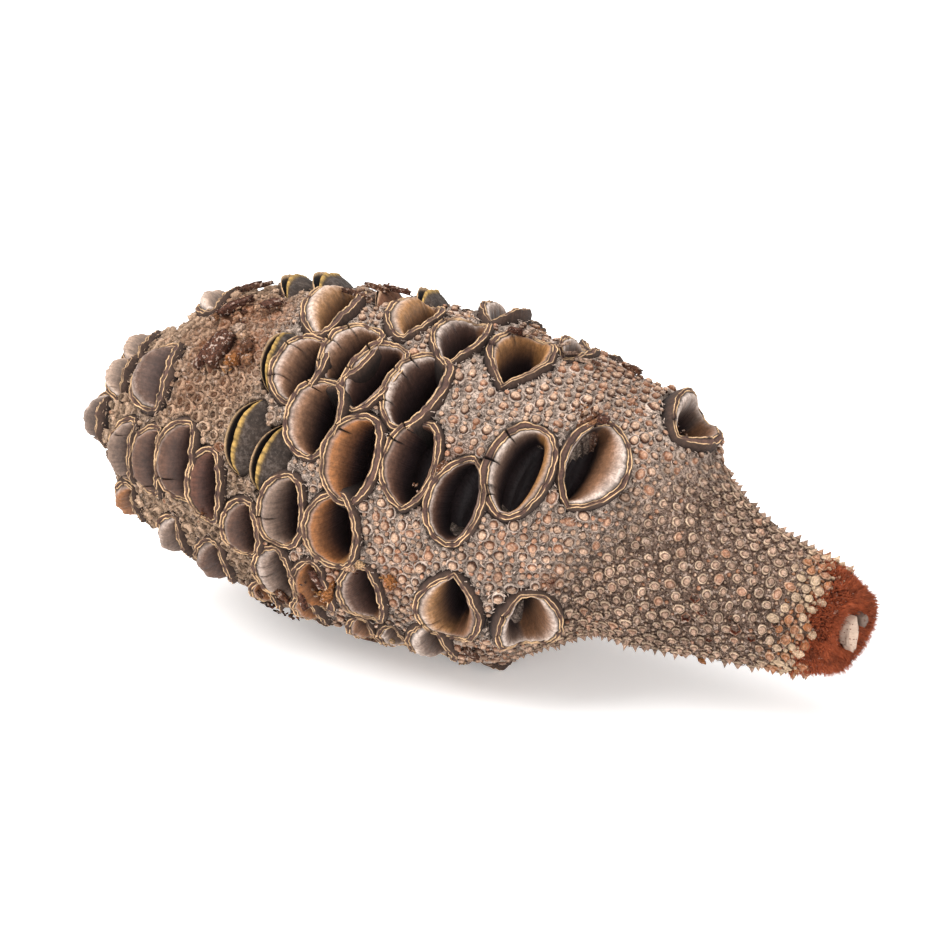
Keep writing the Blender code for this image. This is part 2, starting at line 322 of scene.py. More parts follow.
def nearestPod(points):
    gap = np.full(len(points), 99.0)
    lift = np.zeros(len(points))
    for pod in pods:
        away, low = reach(pod, points)
        fall = np.exp(-(np.maximum(away, 0) / swelling["reach"]) ** 2)
        height = swelling["height"] * pod["rise"] * low * fall
        lift = np.maximum(lift, height)
        gap = np.minimum(gap, away)
    return gap, lift


def ripple(points, size, seed=0.0):  # smooth noise from -1 to 1 at each point
    return np.array([noise.noise(Vector(p) * size + Vector((seed, seed, 0))) for p in points])


# mesh helpers

def template(shape):  # a bmesh as plain arrays, to be stamped many times
    mesh = bpy.data.meshes.new("template")
    shape.to_mesh(mesh)
    shape.free()
    spots = np.empty(len(mesh.vertices) * 3)
    mesh.vertices.foreach_get("co", spots)
    corners = np.empty(len(mesh.loops), np.int64)
    mesh.loops.foreach_get("vertex_index", corners)
    sizes = np.empty(len(mesh.polygons), np.int64)
    mesh.polygons.foreach_get("loop_total", sizes)
    bpy.data.meshes.remove(mesh)
    return spots.reshape(-1, 3), corners, sizes


def stamp(name, shape, places, paints, look, extras=None, smooth=True):
    spots, corners, sizes = shape
    count, each = len(places), len(spots)
    mesh = bpy.data.meshes.new(name)
    mesh.vertices.add(count * each)
    flat = places.reshape(-1, 3).copy()
    flat[:, 2] = np.maximum(flat[:, 2], groundHeight)
    mesh.vertices.foreach_set("co", (flat * mm).astype(np.float32).ravel())
    allCorners = (corners[None, :] + (np.arange(count) * each)[:, None]).ravel()
    allSizes = np.tile(sizes, count)
    mesh.loops.add(len(allCorners))
    mesh.loops.foreach_set("vertex_index", allCorners.astype(np.int32))
    mesh.polygons.add(len(allSizes))
    starts = np.concatenate([[0], np.cumsum(allSizes)[:-1]])
    mesh.polygons.foreach_set("loop_start", starts.astype(np.int32))
    mesh.update(calc_edges=True)
    mesh.validate()
    if smooth:
        mesh.shade_smooth()
    full = np.ones((count * each, 4))
    full[:, :3] = np.clip(paints.reshape(-1, 3), 0, 1)
    numbersOn(mesh, "paint", full)
    for title, values in (extras or {}).items():
        numbersOn(mesh, title, values)
    mesh.materials.append(look)
    obj = bpy.data.objects.new(name, mesh)
    bpy.context.scene.collection.objects.link(obj)
    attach(obj, "root")
    print(name + ":", count, "shapes,", len(mesh.polygons), "faces")
    return obj


def numbersOn(mesh, title, values):  # a number, a vector or a colour at every vertex
    kinds = {1: ("FLOAT", "value"), 3: ("FLOAT_VECTOR", "vector"), 4: ("FLOAT_COLOR", "color")}
    kind, field = kinds[values.size // len(mesh.vertices)]
    mesh.attributes.new(title, kind, "POINT").data.foreach_set(field, values.astype(np.float32).ravel())


def turned(line, sides):  # a closed shape turned round Z from a line of (distance out, height)
    shape = bmesh.new()
    dots = [shape.verts.new((out, 0, height)) for out, height in line]
    edges = [shape.edges.new(pair) for pair in zip(dots, dots[1:])]
    bmesh.ops.spin(shape, geom=dots + edges, cent=(0, 0, 0), axis=(0, 0, 1), angle=2 * math.pi, steps=sides,
                   use_merge=True)
    bmesh.ops.remove_doubles(shape, verts=shape.verts, dist=1e-5)
    bmesh.ops.holes_fill(shape, edges=shape.edges[:], sides=0)
    bmesh.ops.recalc_face_normals(shape, faces=shape.faces[:])
    return shape


def ringed(radii, sides):  # a turned template, with each vertex's ring and angle
    shape = template(turned([(out, height) for height, out in enumerate(radii)], sides))
    spots = shape[0]
    return shape, np.round(spots[:, 2]).astype(int), np.arctan2(spots[:, 1], spots[:, 0])


def laid(spots, centre, ahead, outward, sizes):  # a small shape laid along one direction on the skin
    side = unit(np.cross(outward, ahead))
    axes = np.array([ahead, side, np.cross(ahead, side)])
    return centre + spots @ (axes * np.array(sizes)[:, None])


# materials

class Socket:  # a shader socket that can be added, multiplied and so on
    def __init__(self, shader, link):
        self.shader, self.link = shader, link

    def __add__(self, other):
        return self.shader.maths("ADD", self, other)

    def __mul__(self, other):
        return self.shader.maths("MULTIPLY", self, other)

    def __sub__(self, other):
        return self.shader.maths("SUBTRACT", self, other)

    def __rsub__(self, other):
        return self.shader.maths("SUBTRACT", other, self)

    __radd__, __rmul__ = __add__, __mul__


class Shader:
    def __init__(self, name):
        self.material = bpy.data.materials.new(name)
        self.material.use_nodes = True
        self.tree = self.material.node_tree
        self.surface = self.tree.nodes["Principled BSDF"]

    def node(self, kind, settings=None, sockets=None, out=0):
        made = self.tree.nodes.new(kind)
        for title, value in (settings or {}).items():
            setattr(made, title, value)
        for title, value in (sockets or {}).items():
            into = made.inputs[title] if isinstance(title, int) else next(
                s for s in made.inputs if s.name == title and s.enabled)
            self.join(value, into)
        source = made.outputs[out] if isinstance(out, int) else next(
            s for s in made.outputs if s.name == out and s.enabled)
        return Socket(self, source)

    def join(self, value, into):
        if isinstance(value, Socket):
            self.tree.links.new(value.link, into)
        else:
            into.default_value = value

    def maths(self, operation, first, second):
        return self.node("ShaderNodeMath", {"operation": operation}, {0: first, 1: second})

    def blend(self, share, first, second, kind="MIX"):
        settings = {"data_type": "RGBA", "blend_type": kind, "clamp_factor": True}
        return self.node("ShaderNodeMix", settings, {"Factor": share, "A": first, "B": second}, out="Result")

    def ramp(self, value, low, high):  # 0 below low, 1 above high
        return self.node("ShaderNodeMapRange", {"interpolation_type": "SMOOTHSTEP"},
                         {"Value": value, "From Min": low, "From Max": high})

    def dapple(self, colour, weight, grain, low, high, dark, light):  # darker and lighter with a grain
        shades = [s if isinstance(s, tuple) else (s, s, s, 1) for s in (dark, light)]
        return self.blend(weight, colour, self.blend(self.ramp(grain, low, high), *shades), "MULTIPLY")

    def grains(self, vector, scale, detail=3.0, rough=0.6):
        sockets = {"Vector": vector, "Scale": scale, "Detail": detail, "Roughness": rough}
        return self.node("ShaderNodeTexNoise", None, sockets)

    def objectPlace(self):
        return self.node("ShaderNodeTexCoord", out="Object")

    def attribute(self, title, out="Color"):
        return self.node("ShaderNodeAttribute", {"attribute_name": title}, out=out)

    def bump(self, height, distance, strength=1.0, under=None):
        sockets = {"Height": height, "Distance": distance, "Strength": strength}
        if under:
            sockets["Normal"] = under
        return self.node("ShaderNodeBump", None, sockets)

    def finish(self, **sockets):
        for title, value in sockets.items():
            self.join(value, self.surface.inputs[title.replace("_", " ")])
        return self.material


felts = {  # the netted felt between the bracts, and the smoother bract tips
    "nettedFelt": {"fibre": 1700, "weight": 0.9, "range": (0.4, 0.62), "specks": 0.6, "relief": 0.0008},
    "bractFelt": {"fibre": 2100, "weight": 0.65, "range": (0.34, 0.68), "specks": 0.25, "relief": 0.0003},
}


def feltMaterial(title):
    felt = felts[title]
    look = Shader(title)
    place = look.objectPlace()
    paint = look.attribute("paint")
    mottle = look.grains(place, 110, 4)
    fibre = look.grains(place, felt["fibre"], 4, 0.75)
    speck = look.grains(place, 900, 3, 0.7)
    colour = look.dapple(paint, 0.5, mottle, 0.3, 0.7, 0.7, 1.2)
    colour = look.dapple(colour, felt["weight"], fibre, *felt["range"], 0.36, 1.66)
    colour = look.blend(look.ramp(speck, 0.56, 0.64) * felt["specks"], colour, (*shade(232, 214, 202), 1))
    colour = look.blend(look.ramp(speck, 0.44, 0.37) * felt["specks"], colour, (*shade(62, 42, 33), 1))
    colour = look.blend(1.0, colour, (1.02, 0.93, 0.86, 1), "MULTIPLY")
    relief = look.bump(fibre + speck * 0.8, felt["relief"], 1.0)
    return look.finish(Base_Color=colour, Roughness=0.93, Normal=relief, Specular_IOR_Level=0.2)


podWood = {"fleck": 1100, "patch": 240, "streakRelief": 0.0002, "fleckRelief": 0.00018}


def podMaterial():
    look = Shader("podWood")
    place = look.objectPlace()
    paint = look.attribute("paint")
    streak = look.grains(look.attribute("grain", "Vector"), 1.0, 3, 0.6)
    gloss = look.attribute("gloss", "Fac")
    frost = look.attribute("frost", "Fac")
    fleck = look.grains(place, podWood["fleck"], 4, 0.75)
    patch = look.grains(place, podWood["patch"], 3)
    colour = look.dapple(paint, 0.45, streak, 0.3, 0.7, 0.58, 1.25)
    colour = look.dapple(colour, 0.7, fleck, 0.32, 0.68, (0.65, 0.59, 0.53, 1), (1.42, 1.28, 1.14, 1))
    colour = look.dapple(colour, 0.45, patch, 0.35, 0.65, 0.66, 1.2)
    dusty = look.ramp(fleck + patch * 0.5, 0.72, 0.92) * frost
    colour = look.blend(dusty, colour, (*shade(206, 192, 182), 1))
    rough = 0.84 - gloss * 0.34 + streak * 0.1
    relief = look.bump(streak, podWood["streakRelief"], 0.7)
    relief = look.bump(fleck, podWood["fleckRelief"], 0.7, relief)
    return look.finish(Base_Color=colour, Roughness=rough, Normal=relief, Specular_IOR_Level=0.35)


def hairMaterial():
    look = Shader("rustVelvet")
    paint = look.attribute("paint")
    clump = look.grains(look.objectPlace(), 330, 3)
    colour = look.dapple(paint, 0.75, clump, 0.3, 0.7, 0.5, 1.35)
    return look.finish(Base_Color=colour, Roughness=0.75, Specular_IOR_Level=0.25)


def brokenMaterial():
    look = Shader("brokenWood")
    place = look.objectPlace()
    paint = look.attribute("paint")
    fibre = look.node("ShaderNodeMapping", None, {"Vector": place, "Scale": (500, 700, 4200)})
    grain = look.grains(fibre, 1.0, 3)
    pore = look.node("ShaderNodeTexVoronoi", None, {"Vector": place, "Scale": 1150}, out="Distance")
    colour = look.dapple(paint, 0.5, grain, 0.3, 0.7, 0.7, 1.15)
    colour = look.blend(look.ramp(pore, 0.26, 0.12), colour, (*shade(110, 62, 44), 1))
    relief = look.bump(look.ramp(pore, 0.1, 0.28) + grain * 0.4, 0.0003)
    return look.finish(Base_Color=colour, Roughness=0.85, Normal=relief, Specular_IOR_Level=0.25)


feltLook, bractLook = feltMaterial("nettedFelt"), feltMaterial("bractFelt")
podLook, hairLook, brokenLook = podMaterial(), hairMaterial(), brokenMaterial()

# tones of the surface, from the tip to the stem

zoneTone = {
    "web": {"tip": shade(180, 158, 138), "belly": shade(206, 192, 182), "stem": shade(148, 128, 116)},
    "groove": {"tip": shade(38, 28, 22), "belly": shade(50, 36, 30), "stem": shade(72, 56, 47)},
    "ring": {"tip": shade(92, 72, 58), "belly": shade(88, 62, 50), "stem": shade(90, 70, 60)},
    "rim": {"tip": shade(158, 136, 116), "belly": shade(212, 188, 166), "stem": shade(202, 182, 160)},
    "top": {"tip": shade(102, 82, 68), "belly": shade(184, 158, 138), "stem": shade(166, 142, 126)},
}


def zoneShares(along, around):
    waver = 6 * np.sin(np.radians(around * 2 + 40)) + 3 * np.sin(np.radians(around * 5))
    edge = 128 + 14 * np.cos(np.radians(around + 20))
    stem = smoothStep(edge - 5, edge + 10, along + waver * 0.3)
    tip = 1 - smoothStep(46, 62, along + waver)
    return tip, (1 - tip) * (1 - stem), stem * (1 - tip)


def zoneColour(title, along, around):
    tip, belly, stem = zoneShares(along, around)
    tones = zoneTone[title]
    return tip[:, None] * tones["tip"] + belly[:, None] * tones["belly"] + stem[:, None] * tones["stem"]


rustSpots = (  # stained places: mm along, degrees round, reach in mm, strength
    (33, 31, 6, 0.9), (34, 10, 7, 0.9), (42, 30, 6, 0.9), (42, 10, 6, 0.7), (30, 48, 7, 0.4),
    (26, 20, 6, 0.35), (40, 45, 6, 0.35), (99, 58, 3.5, 0.6), (93, 72, 3, 0.8), (62, 108, 3, 0.5),
    (72, 106, 3, 0.7), (66, -15, 6, 0.7), (86, 105, 3, 0.8), (120, 22, 2.5, 0.8), (116, -25, 2.5, 0.9),
    (124, 92, 2, 0.8), (58, 110, 4, 0.5),
)


def stain(points):
    amount = np.zeros(len(points))
    for along, around, size, strength in rustSpots:
        away = np.linalg.norm(points - skinAt(along, around), axis=1)
        amount = np.maximum(amount, strength * np.exp(-(away / size) ** 2))
    return amount[:, None]


# the skin under everything

skin = {
    "sides": 276, "step": 0.85, "pitInset": 0.1, "pitEdge": 0.3, "deepestPit": 15.0, "tipBulge": 3.0,
    "dishDepth": 1.2, "rustFrom": 179.0, "lowShade": 0.3, "slant": 2.7, "slantRange": (172, 189),
    "worn": 0.24, "wornRange": (178, 190),
}


def rustShare(along, around):  # the velvet's ragged edge
    waver = 1.5 * np.sin(np.radians(around * 3 + 20)) + 1.6 * np.sin(np.radians(around * 7 + 80))
    waver += 1.2 * np.sin(np.radians(around * 13)) + 7 * np.maximum(np.cos(np.radians(around + 20)), 0) ** 12
    return smoothStep(skin["rustFrom"] + 1, skin["rustFrom"] + 4, along + waver)


def endPlace(along, around, share=1.0, out=0.0):  # the broken end slants to the near side and is rounded off
    slant = skin["slant"] * (1 + share * np.cos(np.radians(around - 70)))
    along = along - smoothStep(*skin["slantRange"], along) * slant
    worn = 1 - skin["worn"] * smoothStep(*skin["wornRange"], along + slant * share) ** 1.3
    radius = radiusAt(np.clip(along, 0, cone["length"]), around) * worn
    return spineAt(along) + outwardAt(along, around) * (radius * share + out)[:, None], radius


def buildSkin():
    line = []
    for k in range(1, 13):  # the blunt tip
        share = math.sin(math.radians(90 * k / 12))
        line.append((share, -skin["tipBulge"] * math.cos(math.radians(90 * k / 12))))
    count = round(cone["length"] / skin["step"])
    line += [(1.0, cone["length"] * k / count) for k in range(1, count + 1)]
    for share in (0.9, 0.8, 0.7, 0.6, 0.45, 0.3, 0.15):  # the broken end
        drop = skin["dishDepth"] * float(smoothStep(0.85, 0.6, share))
        line.append((share, cone["length"] - drop))
    shape = template(turned([(0.001, line[0][1])] + line + [(0.001, line[-1][1])], skin["sides"]))
    spots = shape[0]
    share = np.hypot(spots[:, 0], spots[:, 1])
    around = np.degrees(np.arctan2(spots[:, 1], spots[:, 0]))
    along = spots[:, 2]
    base, radius = endPlace(along, around, share)
    gap, lift = nearestPod(base)
    wobble = ripple(base, swelling["noiseSize"]) * swelling["noiseHeight"]
    wobble += ripple(base, 0.6, 5.0) * 0.3
    pit = smoothStep(-skin["pitInset"] + skin["pitEdge"] / 2, -skin["pitInset"] - skin["pitEdge"] / 2, gap)
    depth = np.minimum(0.44 * radius + 1, skin["deepestPit"])
    out = np.where(share > 0.95, lift + wobble, 0) * (1 - pit) - pit * depth
    places = base + outwardAt(along, around) * out[:, None]
    fleck = ripple(base, 0.9, 2.0)[:, None]
    web, groove = zoneColour("web", along, around), zoneColour("groove", along, around)
    darker = smoothStep(0.35, -0.35, fleck)
    paints = web * (1 - 0.7 * darker) + groove * 0.7 * darker
    lowShade = skin["lowShade"] * smoothStep(32, 66, around) * smoothStep(200, 150, around)  # painted shade: darker low down, on the near side and underneath
    paints = paints * (1 - lowShade)[:, None]
    rust = stain(base)
    paints = paints * (1 - rust) + shade(120, 74, 46) * rust
    pitShade = smoothStep(-0.1, -0.7, gap)[:, None]  # painted shade: the skin inside a follicle's outline, down in its pit, is painted near black
    paints = paints * (1 - pitShade) + shade(34, 26, 27) * pitShade
    velvet = rustShare(along, around)[:, None]
    paints = paints * (1 - velvet) + shade(98, 42, 22) * velvet
    obj = stamp("feltedSkin", shape, places[None], paints[None], feltLook)
    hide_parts("banksia_cone")


buildSkin()

# bracts: a big one, and two small ones in the gaps, on a spiral that keeps its spacing throughout

bracts = {
    "spacing": 3.5, "firstAlong": 1.0, "lastAlong": 186.0, "jitter": 0.3, "goldenTurn": 137.50776,
    "bigSize": 1.06, "smallSize": 0.62, "edgeGap": 0.7, "splitAlong": 88.0,
    "honeyRange": (168, 175), "honey": 0.8,
}
# each ring from the buried foot to the middle: distance out, height, tone
bractRings = {
    "tip": ((1.15, -0.8, "web"), (1.28, 0.5, "web"), (1.02, 0.95, "rim"), (0.76, 0.2, "groove"),
            (0.52, 0.5, "top"), (0.0, 0.62, "top")),
    "belly": ((1.3, -0.8, "web"), (1.34, 0.34, "web"), (1.0, 0.24, "groove"), (0.9, 0.66, "ring"),
              (0.6, 1.14, "top"), (0.0, 1.16, "top")),
    "stem": ((1.2, -0.8, "groove"), (1.2, 0.2, "groove"), (1.0, 0.58, "rim"), (0.8, 0.66, "ring"),
             (0.5, 1.0, "top"), (0.0, 1.8, "top")),
}
smallRings = {
    "tip": ((1.0, -0.6, "web"), (1.1, 0.5, "web"), (0.6, 0.9, "rim"), (0.0, 0.7, "top")),
    "belly": ((1.0, -0.6, "groove"), (1.05, 0.3, "ring"), (0.75, 0.9, "top"), (0.0, 1.15, "top")),
    "stem": ((1.0, -0.6, "groove"), (1.0, 0.1, "groove"), (0.7, 0.6, "ring"), (0.0, 1.2, "rim")),
}
missingBracts = (  # places on the stem where a bract has fallen out: mm along, degrees round, mm across
    (154, 81, 2.2), (156.5, 89, 2.4), (153.5, 97, 2.4), (164.5, 96, 2.6), (168.5, 100, 2.0),
    (159.5, 112, 1.6), (163, 88, 1.4), (172.5, 80, 1.8), (124, 91, 1.8), (148, 200, 2.2), (151, 207, 2.0),
    (140, 280, 2.2), (160, 330, 2.0),
)


def spiral(spacing):
    along = np.arange(0, cone["length"], 0.1)
    meanRadius = np.array([float(np.mean(radiusAt(s, np.arange(0, 360, 45.0)))) for s in along])
    area = np.cumsum(2 * math.pi * meanRadius * 0.1)
    cell = 0.866 * spacing**2
    number = np.arange(int(area[-1] / cell))
    at = np.interp(number * cell, area, along)
    turn = (number * bracts["goldenTurn"]) % 360
    keep = (at > bracts["firstAlong"]) & (at < bracts["lastAlong"])
    conformal = np.cumsum(0.1 / meanRadius)
    return at[keep], turn[keep], np.interp(at[keep], along, conformal), (along, conformal)


def gapsBetween(at, turn, flat, table):  # the middle of every triangle of neighbouring big bracts
    angle = np.radians(turn)
    wrap = [(flat, angle)] + [(flat[side], angle[side] + move) for side, move in (
        (angle < 0.4, 2 * math.pi), (angle > 2 * math.pi - 0.4, -2 * math.pi))]
    x, y = np.concatenate([w[0] for w in wrap]), np.concatenate([w[1] for w in wrap])
    result = geometry.delaunay_2d_cdt([Vector(p) for p in zip(x, y)], [], [], 0, 1e-7)
    dots, faces = np.array(result[0]), np.array(result[2])
    middle = dots[faces].mean(axis=1)
    sides = [np.linalg.norm(dots[faces[:, k]] - dots[faces[:, k - 1]], axis=1) for k in range(3)]
    keep = (middle[:, 1] >= 0) & (middle[:, 1] < 2 * math.pi) & (np.max(sides, axis=0) < 0.6)
    return np.interp(middle[keep, 0], table[1], table[0]), np.degrees(middle[keep, 1])


def growBracts(name, at, turn, size, ringTable, sides, smallOnes):
    points = endPlace(at, turn)[0]
    gap, lift = nearestPod(points)
    keep = gap > bracts["edgeGap"] * (0.6 if smallOnes else 1)
    for hollowAlong, hollowAround, wide in missingBracts:
        keep &= np.linalg.norm(points - skinAt(hollowAlong, hollowAround), axis=1) > wide * 0.75
    keep &= rng.uniform(0, 1, len(at)) > 0.86 * rustShare(at - 3, turn)
    at, turn, points, gap, lift = at[keep], turn[keep], points[keep], gap[keep], lift[keep]
    count = len(at)
    across, forward, outward = framesAt(at, turn)
    tip, belly, stem = zoneShares(at, turn)
    last = len(ringTable["tip"]) - 1
    shape, ring, angle = ringed([1 - k / last for k in range(last)] + [0.001], sides)
    radii, heights = np.zeros((count, len(ring))), np.zeros((count, len(ring)))
    tones = np.zeros((count, len(ring), 3))
    for zone, share in (("tip", tip), ("belly", belly), ("stem", stem)):
        table = np.array([row[:2] for row in ringTable[zone]])[ring]
        radii += share[:, None] * table[None, :, 0]
        heights += share[:, None] * table[None, :, 1]
        colours = np.array([zoneTone[row[2]][zone] for row in ringTable[zone]])[ring]
        tones += share[:, None, None] * colours[None]
    grow = size * rng.uniform(0.78, 1.18, count)[:, None] * (1 - 0.08 * stem[:, None])
    golden = smoothStep(*bracts["honeyRange"], at)
    grow = grow * (1 + 0.1 * golden[:, None])
    tall = size * rng.uniform(0.7, 1.25, count)[:, None]
    oval = 1 + rng.uniform(-0.18, 0.18, count)[:, None]
    spin = rng.uniform(0, 2 * math.pi, count)[:, None]
    rough = 1 + rng.uniform(-0.12, 0.12, (count, len(ring)))
    u = radii * grow * rough * np.cos(angle[None] + spin) * oval
    v = radii * grow * rough * np.sin(angle[None] + spin) / oval
    jag = rng.uniform(-0.35, 0.35, (count, len(ring))) * (0.35 + 0.65 * tip[:, None]) * (heights > 0.3)
    out = heights * tall + jag * size * 0.7
    out = out + (lift + ripple(points, swelling["noiseSize"]) * swelling["noiseHeight"])[:, None]
    lean = (0.25 * stem + rng.uniform(-0.16, 0.16, count))[:, None] * np.maximum(heights * tall, 0)
    sideLean = rng.uniform(-0.16, 0.16, count)[:, None] * np.maximum(heights * tall, 0)
    places = points[:, None] + across[:, None] * (u + sideLean)[..., None]
    places += forward[:, None] * (v + lean)[..., None] + outward[:, None] * out[..., None]
    tones *= rng.uniform(0.7, 1.22, count)[:, None, None]
    tones *= rng.uniform(0.85, 1.15, (count, len(ring)))[..., None]
    warmth = belly * smoothStep(70, 105, at) * 0.8 + stem * 0.2 + 0.08
    upper = (ring >= 2)[None, :, None]
    orange = rng.uniform(0, 1, count) < warmth * (0.5 if smallOnes else 0.3)
    orange = (orange * rng.uniform(0.25, 0.75, count))[:, None, None] * upper * (0.85 if smallOnes else 0.6)
    tones = tones * (1 - orange) + shade(170, 116, 86) * orange
    rust = stain(points)[:, None] * 0.75
    tones = tones * (1 - rust) + shade(140, 84, 48) * rust
    honey = bracts["honey"] * (golden * rng.uniform(0.4, 1, count))[:, None, None] * upper
    amber = (rng.uniform(0, 1, count) < 0.45)[:, None, None]
    tones = tones * (1 - honey) + np.where(amber, shade(150, 90, 42), shade(204, 184, 156)) * honey
    stamp(name, shape, places, tones, bractLook)


def buildBracts():
    at, turn, flat, table = spiral(bracts["spacing"])
    smallAt, smallTurn = gapsBetween(at, turn, flat, table)
    at = at + rng.uniform(-1, 1, len(at)) * bracts["jitter"]
    turn = turn + np.degrees(rng.uniform(-1, 1, len(at)) * bracts["jitter"] / radiusAt(at, turn))
    smallAt = smallAt + rng.uniform(-1, 1, len(smallAt)) * bracts["jitter"]
    front = at < bracts["splitAlong"]
    for name, half in (("bractsFront", front), ("bractsBack", ~front)):
        growBracts(name, at[half], turn[half], bracts["bigSize"], bractRings, 10, False)
    growBracts("smallBracts", smallAt, smallTurn, bracts["smallSize"], smallRings, 7, True)


buildBracts()

# slivers: hair and shreds of felt are thin pointed blades, bent on the way

def growSlivers(name, roots, direction, lengths, width, bend, paints, look):
    shape, ring, angle = ringed([1.0, 0.8, 0.0], 3)
    count = len(roots)
    sideways = unit(np.cross(direction, rng.normal(0, 1, (count, 3))))
    other = np.cross(direction, sideways)
    t = (ring / 2)[None, :, None]
    wide = (np.broadcast_to(width, count)[:, None] / 2) * np.array([1.0, 0.8, 0.0])[ring][None]
    long = lengths[:, None, None]
    places = roots[:, None] + direction[:, None] * (t * long) + bend[:, None] * (t**2 * long)
    places += sideways[:, None] * (wide * np.cos(angle))[..., None]
    places += other[:, None] * (wide * np.sin(angle))[..., None]
    stamp(name, shape, places, paints[0][:, None] * (1 - t) + paints[1][:, None] * t, look)


shreds = {"count": 15500, "length": 1.5, "width": 0.26, "height": 0.45, "lastAlong": 176.0}


def buildShreds():  # loose felt that nets the bracts together
    count = shreds["count"]
    along = np.arange(0, shreds["lastAlong"], 0.5)
    area = np.cumsum(radiusAt(along, 90.0))
    at = np.interp(rng.uniform(0, area[-1], count * 2), area, along)
    turn = rng.uniform(0, 360, len(at))
    tip, belly, stem = zoneShares(at, turn)
    points = skinAt(at, turn)
    gap, lift = nearestPod(points)
    keep = (gap > 0.2) & (rng.uniform(0, 1, len(at)) < tip * 0.9 + belly + stem * 0.55)
    keep &= rng.uniform(0, 1, len(at)) > stain(points)[:, 0] * 1.2
    at, turn, points, lift = at[keep][:count], turn[keep][:count], points[keep][:count], lift[keep][:count]
    count = len(at)
    across, forward, outward = framesAt(at, turn)
    heading = rng.uniform(0, 2 * math.pi, count)[:, None]
    flat = across * np.cos(heading) + forward * np.sin(heading)
    direction = unit(flat + outward * rng.uniform(-0.15, 0.55, count)[:, None])
    height = lift + shreds["height"] * rng.uniform(0.3, 1.6, count)
    roots = points + outward * height[:, None]
    bend = np.cross(outward, flat) * rng.normal(0, 0.5, (count, 1)) - outward * 0.25
    pale = zoneColour("web", at, turn) * rng.uniform(0.6, 1.4, count)[:, None]
    rust = stain(points) * 0.8
    pale = pale * (1 - rust) + shade(126, 74, 44) * rust
    growSlivers("webShreds", roots, direction, shreds["length"] * rng.uniform(0.5, 1.2, count),
                shreds["width"] * rng.uniform(0.6, 1.4, count), bend, (pale, pale), feltLook)


buildShreds()

# the follicles themselves

# "deep" is painted shade: the near-black at the bottom of open follicles' slots and inside unopened ones'
# slits
podTone = {
    "wall": shade(66, 51, 44), "cream": shade(206, 174, 136), "band": shade(84, 62, 55),
    "line": shade(34, 25, 22), "rimGrey": shade(190, 178, 172), "rimDark": shade(96, 74, 64),
    "deep": shade(40, 32, 35), "silver": shade(124, 104, 92), "greyBrown": shade(92, 67, 54),
    "beige": shade(166, 144, 128), "umber": shade(88, 62, 49), "tan": shade(132, 96, 70),
    "amber": shade(140, 92, 52), "gold": shade(166, 122, 76), "redBrown": shade(84, 54, 43),
    "bare": shade(54, 45, 40), "yellow": shade(166, 136, 76), "rust": shade(100, 68, 50),
    "rustPale": shade(168, 138, 114), "rustDark": shade(86, 56, 43),
}
podMesh = {"columns": 96, "lining": 12}
# rings over the rim: inset that grows with the lip, fixed inset, height from the rim, tone
podRings = (
    (0.0, -0.03, -0.14, "wall"), (0.0, 0.05, 0.0, "cream"), (0.0, 0.2, -0.02, "cream"),
    (0.0, 0.3, -0.3, "band"), (0.6, 0.0, -0.1, "band"), (0.82, 0.0, -0.28, "line"),
    (0.85, 0.07, -0.02, "cream"), (0.85, 0.2, -0.02, "cream"), (0.85, 0.34, -0.45, "line"),
)
podFoot = 4
liningStart = podFoot + len(podRings)


def noiseRound(theta, times, seed):  # an uneven wave round a follicle, from about -1 to 1
    value = np.zeros_like(theta)
    for k in range(3):
        value += np.sin(theta * (times * (k + 1) + k) + seed * (k + 2.3)) / (k + 1)
    return value / 1.8


def warpForCracks(theta, cracks):  # draws the columns beside each crack close to it
    theta = theta % (2 * math.pi)
    step = 2 * math.pi / podMesh["columns"]
    shifted, split = theta.copy(), np.zeros_like(theta)
    for crack in cracks:  # cracks lie on the tip side, from one end to the other
        column = round((math.pi + math.pi * crack) / step)
        off = np.round(theta / step) - column
        shifted = np.where(np.abs(off) <= 2, (column + off * 0.3) * step, shifted)
        split = np.where(np.abs(off) <= 1, 1.0 - 0.35 * np.abs(off), split)
    return shifted, split


def liftAndPlace(pod, u, v, out):  # follows the cone's roundness across, and stays straight along it
    radius = pod["radius"]
    bent = np.clip(u / radius, -1.2, 1.2)
    return (
        pod["centre"] + pod["across"] * (radius * np.sin(bent))[..., None] + pod["forward"] * v[..., None]
        + pod["outward"] * (out - radius * (1 - np.cos(bent)))[..., None]
    )


